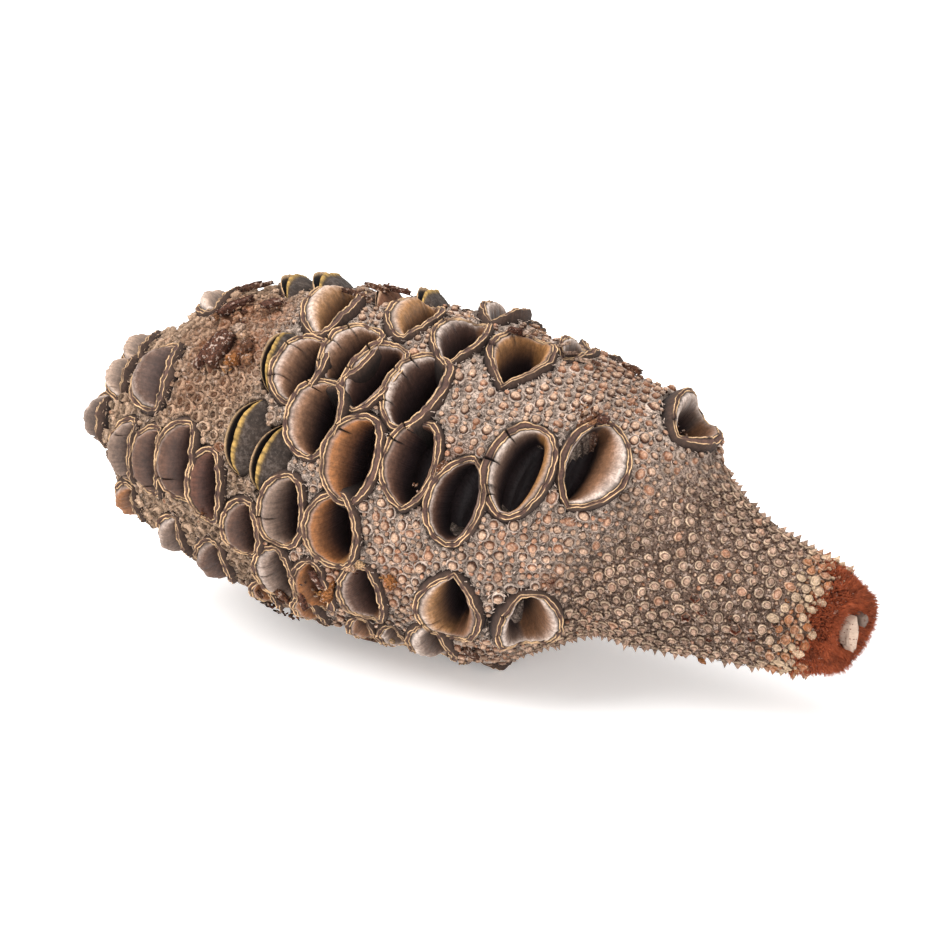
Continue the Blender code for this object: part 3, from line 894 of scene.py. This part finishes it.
def openPod(pod, number, ring, angle):
    theta, split = warpForCracks(angle, pod["cracks"])
    cos, sin = np.cos(theta), np.sin(theta)
    point = np.where(cos > 0, pod["endPoint"], pod["topPoint"])
    bow = np.sign(sin) * np.abs(sin) ** point
    a, b = pod["halfLength"], pod["halfWidth"]
    reachOut = b * np.where(sin > 0, 1 - pod["lean"], 1 + pod["lean"])
    wall = 1 + (pod["lip"] - 1) * smoothStep(-0.1, 0.6, sin if pod["shift"] > 0 else -sin)
    rim = pod["rise"] * (1 - 0.5 * np.abs(cos) ** 5) * (1 + 0.1 * noiseRound(theta, 2, number))
    rim = rim + 0.25 * noiseRound(theta, 9, number * 1.7) + 0.12 * noiseRound(theta, 21, number * 2.9)
    wave = 0.16 * noiseRound(theta, 13, number * 2.1) + 0.3 * noiseRound(theta, 4, number * 0.9)
    innerWave = 0.18 * noiseRound(theta, 15, number * 3.3)
    broken = smoothStep(-0.7, 0.1, noiseRound(theta, 8, number * 1.3))[:, None]
    inset, out, tones = np.zeros_like(theta), np.zeros_like(theta), np.zeros((len(theta), 3))
    body = -min(pod["depth"] + 2.5, 0.42 * pod["radius"])
    foot = ((0.0, body, "line"), (-0.4, -1.4, "line"), (-0.6, 0.3, "line"), (-0.22, 0.75, "wall"))
    for k, (spread, height, tone) in enumerate(foot):
        here = ring == k
        inset[here] = spread
        out[here] = height if k < 2 else (rim * height)[here]
        tones[here] = podTone[tone]
    for k, (spread, fixed, drop, tone) in enumerate(podRings):
        here = ring == podFoot + k
        inset[here] = (spread * wall + fixed + (wave if spread < 0.8 else innerWave))[here]
        out[here] = (rim + drop)[here]
        colour = podTone[tone]
        if tone == "cream":
            colour = (podTone["band"] * (1 - broken) + colour * broken)[here]
        tones[here] = colour
    w = np.clip((ring - liningStart + 1) / podMesh["lining"], 0, 1)
    inside = ring >= liningStart
    rimInset = podRings[-1][0] * wall + podRings[-1][1] + innerWave * 0.5
    rimU, rimV = (a - rimInset) * cos, (reachOut - rimInset) * bow
    slotU = (a - rimInset) * pod["slot"] * cos
    lips = (1, pod["lip"]) if pod["shift"] > 0 else (pod["lip"], 1)
    margin = [podRings[-1][0] * lip + podRings[-1][1] + 0.9 for lip in lips]
    lowSlot = max(pod["shift"] * b - pod["gape"] / 2, margin[0] - b * (1 + pod["lean"]))
    highSlot = min(pod["shift"] * b + pod["gape"] / 2, b * (1 - pod["lean"]) - margin[1])
    slotMiddle = (lowSlot + highSlot) / 2
    slotV = slotMiddle + (highSlot - lowSlot) / 2 * np.sign(sin) * np.abs(sin) ** 0.8
    turn = w * math.pi / 2
    share, drop = np.sin(turn) ** 0.9, 1 - np.cos(turn) ** 0.9
    broad = np.clip(np.abs(slotV - rimV) / b - 0.2, 0, 1.2)  # the wider side rolls over like a bolster
    pillow = pod["bulge"] * 1.5 * broad * np.sin(np.clip(share * 1.15, 0, 1) * math.pi) ** 0.8
    u = np.where(inside, rimU + (slotU - rimU) * share, (a - inset) * cos)
    v = np.where(inside, rimV + (slotV - rimV) * share, (reachOut - inset) * bow)
    out = np.where(inside, (rim - 0.25) - (rim + pod["depth"]) * drop + pillow, out)
    base = ring == 0
    u, v = np.where(base, (slotU + a * cos) / 2, u), np.where(base, (slotV + reachOut * bow) / 2, v)
    floor = ring == ring.max()
    u = np.where(floor, slotU * 0.7, u)
    v = np.where(floor, slotMiddle + (slotV - slotMiddle) * 0.3, v)
    out = np.where(floor, -pod["depth"] - 1.2, out)
    narrow = smoothStep(-0.15, 0.15, sin)[:, None]  # the stem side has its own lining
    pale = pod["pale"] * (1 - narrow * (0.65 if pod["shift"] >= 0 else 0.1))
    middle = podTone[pod["tone"]] * (1 - narrow) + podTone[pod["inner"]] * narrow
    edge = podTone["rimDark"] * (1 - pale) + podTone["rimGrey"] * pale
    reachIn = 0.22 + 0.4 * pod["pale"]
    first = smoothStep(0.04, reachIn, share)[:, None]
    # painted shade: towards the slot and down into it the lining is darkened to the near-black "deep" tone
    second = smoothStep(0.28, 0.78, share)[:, None] * (1 - 0.6 * narrow)
    void = smoothStep(0.7 + 0.2 * narrow[:, 0], 0.94 + 0.05 * narrow[:, 0], share)[:, None]
    lining = edge
    for tone, amount in ((middle, first), (podTone["deep"], second * 0.72), (podTone["deep"], void)):
        lining = lining * (1 - amount) + tone * amount
    tones = np.where(inside[:, None], lining, tones)
    split = split * smoothStep(0.75, 0.35, share) * (ring >= podFoot + 1)
    out = out - split * 1.3
    # painted shade: the cracks are darkened almost to black
    tones = tones * (1 - 0.96 * split)[:, None]
    arc = theta * (a + b) / 2
    grain = np.stack([arc * 1.7, share * 1.2 + number * 7.3, 0 * arc + number * 3.1], axis=-1)
    gloss = np.where(inside, smoothStep(0.1, 0.6, share), 0.15 * (ring >= podFoot))
    frost = np.where(inside, smoothStep(0.62, 0.1, share) * np.maximum(pale[:, 0] - 0.35, 0) * 0.9, 0.0)
    return liftAndPlace(pod, u, v, out), tones, grain, gloss, frost


slitAt = -0.84  # the slit of an unopened follicle, as a share of the half width
# how an unopened one looks: valve, ridge along the slit, far edge, share of the half width slit, ridge height
shutLooks = {
    "closed": ("bare", "yellow", "cream", 0.46, 0.5),
    "torn": ("rust", "rustPale", "rustPale", 0.22, 0.25),
}


def shutPod(pod, number, ring, angle):
    valveTone, ridgeTone, edgeTone, slit, ridgeHeight = shutLooks[pod["shut"]]
    theta = angle % (2 * math.pi)
    cos, sin = np.cos(theta), np.sin(theta)
    a, b = pod["halfLength"], pod["halfWidth"]
    full = np.abs(sin) ** shutPoint
    stemward = sin > 0
    outerV = b * np.where(stemward, full, -full)
    slitV = b * full * (slitAt + slit * stemward)
    q = np.clip((ring - 3) / len(podRings), 0, 1)
    w = np.clip((ring - liningStart + 1) / podMesh["lining"], 0, 1)
    bulge = np.where(stemward, np.sin(q * math.pi / 2) ** 0.8, q)
    taper = 1 - 0.8 * np.abs(cos) ** 4
    out = -0.8 + (pod["rise"] + 0.8) * (0.1 + 0.9 * bulge) * taper
    ridge = smoothStep(0.78, 0.88, q) * (w == 0) * taper
    crumple = noiseRound(theta, 19, number) * 0.3 + noiseRound(theta, 37, number) * 0.25
    out = out + ridge * (ridgeHeight + crumple * ridgeHeight)
    out = out + 0.25 * noiseRound(theta, 6, number) * stemward * smoothStep(0.1, 0.4, q) * (w == 0)
    u = a * cos * (1 - 0.04 * q)
    v = outerV + (slitV - outerV) * np.where(stemward, q ** 0.85, q)
    v = v + 0.18 * crumple * ridge
    out = out - w * pod["depth"] * 0.7
    v = v * (1 - w) + (slitAt + slit / 2) * b * full * w
    foot = ring < 3
    body = -min(pod["depth"], 0.4 * pod["radius"])
    u, v = np.where(foot, (a + 0.6) * cos, u), np.where(foot, (b + 0.6) * np.sign(sin) * full, v)
    out = np.where(ring == 0, body, np.where(ring == 1, -2.0, np.where(ring == 2, -0.9, out)))
    u, v = np.where(ring == 0, u * 0.7, u), np.where(ring == 0, v * 0.7, v)
    edge = smoothStep(0.76, 0.88, q)[:, None]
    scallop = smoothStep(-0.8, 0.3, crumple * 3)[:, None]
    ridgeColour = podTone[ridgeTone] * (0.45 + 0.6 * scallop)
    valve = podTone[valveTone] * (1 + 0.25 * noiseRound(theta, 7, number))[:, None]
    tones = np.where(stemward[:, None], valve * (1 - edge) + ridgeColour * edge,
                     podTone["wall"] * (1 - edge) + podTone[edgeTone] * edge)
    # painted shade: inside the slit the colour turns dark
    dark = smoothStep(0.0, 0.1, w)[:, None]
    tones = tones * (1 - dark) + podTone["deep"] * 0.4 * dark
    grain = np.stack([theta * (a + b) * 0.8, q * 2 + number * 7.3, 0 * theta + number * 3.1], axis=-1)
    frost = np.where(stemward, 0.06 * (1 - edge[:, 0]) * (pod["shut"] == "closed"), 0.0) * (w == 0)
    return liftAndPlace(pod, u, v, out), tones, grain, 0.25 * edge[:, 0], frost


def buildPods():
    shape, ring, angle = ringed([1.0] * (liningStart + podMesh["lining"] + 1), podMesh["columns"])
    groups = {"Tip": [], "Belly": [], "Far": []}
    for number, pod in enumerate(pods):
        made = (shutPod if pod["shut"] else openPod)(pod, number + 1, ring, angle)
        part = "Far" if 190 < pod["around"] % 360 < 325 else "Tip" if pod["along"] < 62 else "Belly"
        groups[part].append(made)
    for part, made in groups.items():
        places, paints, grain, gloss, frost = (np.array([m[k] for m in made]) for k in range(5))
        extras = dict(grain=grain, gloss=gloss, frost=frost)
        stamp("follicles" + part, shape, places, paints, podLook, extras)


buildPods()

# crumbs: torn bits of wood and felt, lying where birds and weather left them

crumbs = (  # mm along, degrees round, height out of the skin, spread, count, size, tones
    (43, 33, 1.6, 3.2, 26, 1.3, ("rust", "amber", "redBrown")),
    (39.5, 37, 1.4, 2.0, 14, 1.5, ("amber", "gold", "rust")),
    (43, 8, 1.8, 3.0, 26, 1.5, ("rust", "redBrown", "tan")),
    (36, 12, 1.8, 4.0, 30, 1.6, ("rust", "redBrown", "rustPale")),
    (29, -8, 1.8, 3.5, 22, 1.5, ("rust", "rustPale", "redBrown")),
    (94, 71, 1.2, 2.2, 22, 1.3, ("rust", "tan", "redBrown")),
    (96, 62, 1.2, 1.8, 14, 1.1, ("rust", "rustPale", "amber")),
    (66.5, 122, 0.5, 2.6, 16, 1.5, ("gold", "beige", "amber")),
    (63, 112, 2.0, 2.0, 12, 1.6, ("rust", "redBrown", "amber")),
    (77, 103, 1.6, 1.6, 8, 1.5, ("rust", "redBrown", "umber")),
    (86, 106, 1.2, 1.4, 6, 2.0, ("amber", "gold", "rust")),
    (117, 23, 2.2, 1.8, 16, 1.3, ("rust", "redBrown", "amber")),
    (135, -8, -2.0, 4.0, 46, 1.3, ("redBrown", "tan", "beige")),
    (99, -12, 3.0, 2.0, 14, 1.5, ("rustPale", "amber", "rust")),
    (117, -25, 1.4, 2.2, 16, 1.6, ("rust", "amber", "redBrown")),
    (89, -6, 2.2, 1.8, 8, 1.4, ("rustPale", "gold", "tan")),
    (66, -18, 3.4, 3.6, 24, 1.6, ("rust", "rustPale", "redBrown")),
    (46, 152, 3.0, 3.0, 18, 2.2, ("umber", "bare", "redBrown")),
    (52, 150, 3.6, 3.0, 14, 2.0, ("umber", "amber", "bare")),
    (38.5, 96, 2.4, 1.4, 9, 1.3, ("rust", "amber", "redBrown")),
    (150, 168, 0.8, 4.0, 12, 1.3, ("rust", "amber", "tan")),
    (45, 240, 1.6, 4.0, 30, 1.4, ("rust", "tan", "redBrown")),
    (95, 285, 1.6, 4.0, 30, 1.4, ("rust", "tan", "redBrown")),
)


def buildCrumbs():
    chip = bmesh.new()
    bmesh.ops.create_icosphere(chip, subdivisions=1, radius=0.5)
    shape = template(chip)
    places, paints = [], []
    for along, around, height, spread, count, size, tones in crumbs:
        for k in range(count):
            s = along + rng.normal(0, spread * 0.5)
            phi = around + math.degrees(rng.normal(0, spread * 0.5) / float(radiusAt(along, around)))
            across, forward, outward = framesAt(s, phi)
            spun = rng.uniform(0, 2 * math.pi)
            extent = [size * rng.uniform(*share) for share in ((0.5, 1.1), (0.25, 0.6), (0.15, 0.4))]
            tilt = rng.uniform(-0.6, 0.6)
            ahead = unit(across * math.cos(spun) + forward * math.sin(spun) + outward * tilt)
            rough = shape[0] * rng.uniform(0.6, 1.3, (len(shape[0]), 1))
            centre = skinAt(s, phi, height + rng.uniform(-0.3, 0.6))
            places.append(laid(rough, centre, ahead, outward, extent))
            tone = podTone[tones[rng.integers(len(tones))]] * rng.uniform(0.6, 1.35)
            paints.append(np.tile(tone, (len(rough), 1)))
    stamp("tornCrumbs", shape, np.array(places), np.array(paints), feltLook, smooth=False)


buildCrumbs()

# shards: larger torn slabs, each a block with ragged faces

shards = (  # mm along, degrees round, height, length, width, thickness, degrees turned and tilted, tone
    (35.6, 32, 2.6, 11, 4.6, 1.8, -14, 4, "rustDark"), (32.6, 33.5, 2.2, 9.5, 1.5, 2.0, -17, 0, "redBrown"),
    (33.6, 9, 2.4, 11, 2.3, 1.6, -32, 6, "redBrown"), (31.3, 11, 2.2, 9, 1.6, 1.5, -34, 0, "tan"),
    (34.5, -6, 3.0, 9, 1.3, 1.0, -60, 0, "umber"), (30.5, -12, 2.6, 8, 1.2, 1.2, -70, 0, "redBrown"),
    (42.6, 8, 2.2, 6, 2.6, 1.2, -34, 10, "redBrown"), (40.2, 36, 1.6, 3.0, 2.8, 2.6, 20, 0, "amber"),
    (42.6, 29, 1.6, 3.4, 2.0, 1.6, 40, 20, "rust"), (40.0, 25, 1.5, 2.4, 2.2, 1.8, 10, 0, "rustPale"),
    (38.2, 22, 1.6, 3.0, 2.6, 1.6, 5, 0, "beige"), (44.0, 35, 1.3, 2.6, 2.4, 1.8, 0, 0, "tan"),
    (46.8, 131, 2.2, 7, 1.8, 0.8, 62, 10, "umber"), (53.4, 131, 2.2, 5, 1.6, 0.8, 50, 0, "umber"),
    (56.0, 126, 2.4, 6, 1.5, 1.2, 30, 0, "rust"), (62.6, 120, 3.2, 7, 1.6, 1.0, 20, 20, "redBrown"),
    (70.8, 112, 3.0, 6.5, 2.4, 1.0, -10, 30, "amber"), (68.2, 108, 3.2, 6, 1.6, 1.2, 25, 0, "redBrown"),
    (77.4, 100, 2.2, 3.4, 2.2, 1.4, 0, 20, "rustPale"), (79.2, 99, 1.8, 3.0, 1.8, 1.2, 50, 0, "cream"),
    (86.6, 104, 1.6, 3.8, 2.4, 1.4, 65, 20, "amber"), (118.6, 27, 3.4, 7, 1.0, 1.2, -24, 0, "rust"),
    (120.0, 26, 3.2, 5.5, 0.9, 1.0, -24, 0, "tan"), (121.6, 24, 3.8, 3.0, 2.6, 1.0, 10, 30, "redBrown"),
    (97.8, -1, 3.8, 5.5, 1.8, 1.2, -30, 20, "redBrown"), (99.4, -3, 4.0, 4.5, 1.0, 1.0, -20, 0, "beige"),
    (105.0, -4, 3.6, 5.0, 1.2, 0.7, 70, 40, "beige"), (107.0, -2, 3.2, 5.5, 1.2, 0.7, 60, 30, "silver"),
    (109.4, -3, 2.6, 4.5, 1.0, 0.7, 80, 20, "beige"), (111.5, -6, 2.4, 4.0, 1.2, 0.8, 50, 10, "umber"),
    (117.0, -24, 2.0, 5.0, 2.4, 1.4, 70, 0, "rust"), (64.0, -10, 4.0, 8, 1.4, 1.0, 78, 0, "rust"),
    (68.4, -12, 4.2, 8, 1.2, 1.0, 84, 0, "redBrown"), (61.0, -2, 3.4, 9, 1.0, 1.0, 74, 0, "umber"),
    (96.2, 62, 2.6, 5.0, 1.4, 1.2, -30, 0, "rust"), (95.2, 66, 2.4, 4.0, 1.2, 1.2, -10, 0, "redBrown"),
    (72.0, 148, 2.5, 8, 1.6, 1.0, 70, 0, "umber"), (80.0, 138, 2.2, 6, 1.4, 1.0, 60, 0, "cream"),
    (110.0, 132, 2.4, 5, 1.6, 1.0, 40, 10, "umber"), (158.0, 150, 1.4, 3, 1.6, 0.6, 20, 20, "amber"),
)


def cubeGrid(size, cuts):
    block = bmesh.new()
    bmesh.ops.create_cube(block, size=size)
    bmesh.ops.subdivide_edges(block, edges=block.edges[:], cuts=cuts, use_grid_fill=True)
    return template(block)


def buildShards():
    shape = cubeGrid(1.0, 3)
    spots = shape[0]
    places, paints = [], []
    for number, (along, around, height, long, wide, thick, turn, tilt, tone) in enumerate(shards):
        across, forward, outward = framesAt(along, around)
        turn, tilt = math.radians(turn), math.radians(tilt)
        flat = across * math.cos(turn) + forward * math.sin(turn)
        ahead = unit(flat * math.cos(tilt) + outward * math.sin(tilt))
        ragged = [ripple(spots * 3.1 + number * 5 + k * 3, 1.0) for k in range(3)]
        body = spots * (1 - 0.3 * np.abs(spots[:, :1])) + np.stack(ragged, axis=-1) * [0.12, 0.3, 0.3]
        places.append(laid(body, skinAt(along, around, height), ahead, outward, (long, wide, thick)))
        paints.append(podTone[tone] * (1 + 0.35 * ripple(spots * 4 + number * 7, 1.0)[:, None]))
    stamp("tornShards", shape, np.array(places), np.array(paints), feltLook, smooth=False)


buildShards()

# empty sockets where bracts have fallen out of the stem

# a socket's rings from its foot to its middle: distance out, height, tone
socketRings = (
    (0.8, -1.5, shade(90, 70, 60)), (1.15, 0.75, shade(150, 126, 108)), (0.95, 0.8, shade(96, 50, 34)),
    (0.6, -0.5, shade(70, 30, 20)), (0.001, -0.7, shade(52, 22, 16)),
)


def buildSockets():
    shape, ring, angle = ringed([row[0] for row in socketRings], 5)
    spots = shape[0]
    heights, tone = (np.array([row[k] for row in socketRings])[ring] for k in (1, 2))
    places, paints = [], []
    for along, around, wide in missingBracts:
        across, forward, outward = framesAt(along, around)
        out = np.hypot(spots[:, 0], spots[:, 1]) * wide / 2 * rng.uniform(0.85, 1.15, len(spots))
        spun = angle + rng.uniform(0, 2)
        local = np.stack([out * np.cos(spun), out * np.sin(spun), heights], axis=-1)
        places.append(skinAt(along, around) + local @ np.array([across, forward, outward]))
        paints.append(tone * rng.uniform(0.8, 1.2))
    stamp("emptySockets", shape, np.array(places), np.array(paints), feltLook, smooth=False)


buildSockets()

# rust velvet round the broken end, and the pale wood inside it

velvet = {"ringCount": 11000, "faceCount": 5200, "length": 2.1, "width": 0.2, "innerEdge": 0.42}


def endNormal():  # the way the slanted break faces
    rim = endPlace(np.full(3, cone["length"]), np.array([0.0, 120, 240]))[0]
    normal = unit(np.cross(rim[1] - rim[0], rim[2] - rim[0]))
    return normal * np.sign(normal[0])


def growHair(name, roots, direction, lengths):
    count = len(roots)
    bend = unit(rng.normal(0, 1, (count, 3))) * 0.4
    tint = rng.uniform(0.6, 1.3, (count, 1))
    # the hair runs from its dark red-brown rust at the root to a lighter tip; the lighter tips are partly a
    # painted highlight
    paints = shade(84, 34, 17) * tint, shade(176, 88, 52) * tint
    growSlivers(name, roots, direction, velvet["length"] * lengths, velvet["width"], bend, paints, hairLook)


def buildVelvet():
    count = velvet["ringCount"]
    at = cone["length"] - rng.uniform(0, 1, count) ** 1.2 * (cone["length"] - skin["rustFrom"] + 4)
    turn = rng.uniform(0, 360, count)
    clump = ripple(skinAt(at, turn), 0.3, 8.0)
    keep = (rng.uniform(0, 1, count) < rustShare(at, turn) + 0.02) & (clump > -0.42)
    at, turn, clump = at[keep], turn[keep], clump[keep]
    count = len(at)
    across, forward, outward = framesAt(np.minimum(at, 187.5), turn)
    roots = endPlace(np.minimum(at, 188.8), turn, 1.0, -0.3)[0]
    endShare = smoothStep(182, 189, at)[:, None]
    direction = outward + across * rng.normal(0, 0.4, (count, 1))
    direction = unit(direction + forward * (rng.normal(0.15, 0.4, (count, 1)) + endShare * 0.5))
    lengths = rng.uniform(0.5, 1.2, count) * (1 + 0.5 * clump) * (0.7 + 0.3 * endShare[:, 0])
    growHair("velvetRing", roots, direction, lengths)

    count = velvet["faceCount"]
    share = np.sqrt(rng.uniform(velvet["innerEdge"] ** 2, 1, count))
    turn = rng.uniform(0, 360, count)
    end = cone["length"]
    across = framesAt(np.full(count, 187.5), turn)[0]
    axis, outward = endNormal(), outwardAt(np.full(count, end), turn)
    drop = skin["dishDepth"] * smoothStep(0.85, 0.6, share)
    roots = endPlace(np.full(count, end), turn, share)[0] - axis * (drop + 0.2)[:, None]
    direction = unit(axis + outward * (share * 0.8 - 0.15)[:, None] + across * rng.normal(0, 0.4, (count, 1)))
    growHair("velvetFace", roots, direction, rng.uniform(0.5, 1.1, count))


buildVelvet()

splinters = (  # across the end, up it, out of it, half width, height and depth, degrees turned, tone, tint
    (0.6, 0.0, 0.7, 1.3, 4.7, 1.3, -12, "beige", 1.35),
    (1.9, 0.4, 0.2, 0.7, 3.4, 1.2, -8, "beige", 0.95),
    (-3.6, 1.8, 0.5, 1.0, 1.7, 1.1, -20, "silver", 0.8),
    (-1.2, -0.8, -0.4, 1.0, 3.4, 1.2, -8, "umber", 0.7),
)


def buildBrokenWood():
    end = cone["length"]
    axis = endNormal()
    side = unit(np.cross(axis, [0, 0, 1.0]))
    up = np.cross(side, axis)
    centre = endPlace(np.array([end]), np.array([0.0]), 0.0)[0][0]
    places, paints = [], []
    shape = cubeGrid(2.0, 5)
    spots = shape[0]
    for x, y, z, wide, tall, deep, turn, tone, tint in splinters:
        ca, sa = math.cos(math.radians(turn)), math.sin(math.radians(turn))
        across, along, out = spots[:, 0] * wide, spots[:, 1] * tall, spots[:, 2] * deep
        out = out + ripple(spots * [3, 1.2, 1] + x, 1.4, y) * 0.5 * (spots[:, 2] > 0.5)
        across = across * (1 - 0.35 * spots[:, 1] ** 2) + ripple(spots, 1.3, x) * 0.35
        u, v = across * ca - along * sa, across * sa + along * ca
        places.append(centre + side * (u + x)[:, None] + up * (v + y)[:, None] + axis * (out + z)[:, None])
        paints.append(np.tile(podTone[tone] * tint, (len(spots), 1)))
    stamp("brokenWood", shape, np.array(places), np.array(paints), brokenLook)


buildBrokenWood()

# floor, light and camera

studio = {
    "azimuth": 22.0, "elevation": 25.0, "distance": 900.0, "lens": 146.65, "aimAlong": 91.34, "aimUp": 0.47,
    "worldStrength": 0.92, "floorGlow": 0.24,
}
lamps = (  # name, place, size, power
    ("topLight", (-0.1, 0.1, 1.0), 1.2, 9),
    ("keyLight", (-0.5, -0.6, 0.9), 0.5, 8),
    ("fillLight", (0.6, -0.9, 0.35), 0.9, 6),
)


def buildStudio():
    look = Shader("paleFloor")
    look.finish(Base_Color=(0.95, 0.95, 0.95, 1), Roughness=0.9, Emission_Color=(1, 0.97, 0.95, 1),
                Emission_Strength=studio["floorGlow"])
    shape = bmesh.new()
    bmesh.ops.create_grid(shape, x_segments=1, y_segments=1, size=4.0)
    mesh = bpy.data.meshes.new("floor")
    shape.to_mesh(mesh)
    shape.free()
    floor = bpy.data.objects.new("floor", mesh)
    bpy.context.scene.collection.objects.link(floor)
    floor.location.z = coneLow.z - 0.0002
    mesh.materials.append(look.material)
    world = bpy.data.worlds.new("studioWorld")
    bpy.context.scene.world = world
    world.use_nodes = True
    sky = world.node_tree.nodes["Background"].inputs
    sky["Color"].default_value, sky["Strength"].default_value = (1, 1, 1, 1), studio["worldStrength"]
    for name, place, size, power in lamps:
        data = bpy.data.lights.new(name, "AREA")
        data.size, data.energy = size, power
        lamp = bpy.data.objects.new(name, data)
        lamp.location = place
        lamp.rotation_euler = (Vector((0, 0, 0.03)) - Vector(place)).to_track_quat("-Z", "Y").to_euler()
        bpy.context.scene.collection.objects.link(lamp)


def buildCamera():
    azimuth, elevation = math.radians(studio["azimuth"]), math.radians(studio["elevation"])
    level = math.cos(elevation)
    back = Vector((math.sin(azimuth) * level, -math.cos(azimuth) * level, math.sin(elevation)))
    aim = Vector(spineStart + np.array([studio["aimAlong"], 0, studio["aimUp"]])) * mm
    data = bpy.data.cameras.new("camera")
    data.lens, data.sensor_width = studio["lens"], 36
    data.clip_start, data.clip_end = 0.01, 20
    camera = bpy.data.objects.new("camera", data)
    camera.location = aim + back * studio["distance"] * mm
    camera.rotation_euler = (-back).to_track_quat("-Z", "Y").to_euler()
    bpy.context.scene.collection.objects.link(camera)
    bpy.context.scene.camera = camera


buildStudio()
buildCamera()
bpy.context.scene.view_settings.view_transform = "Standard"
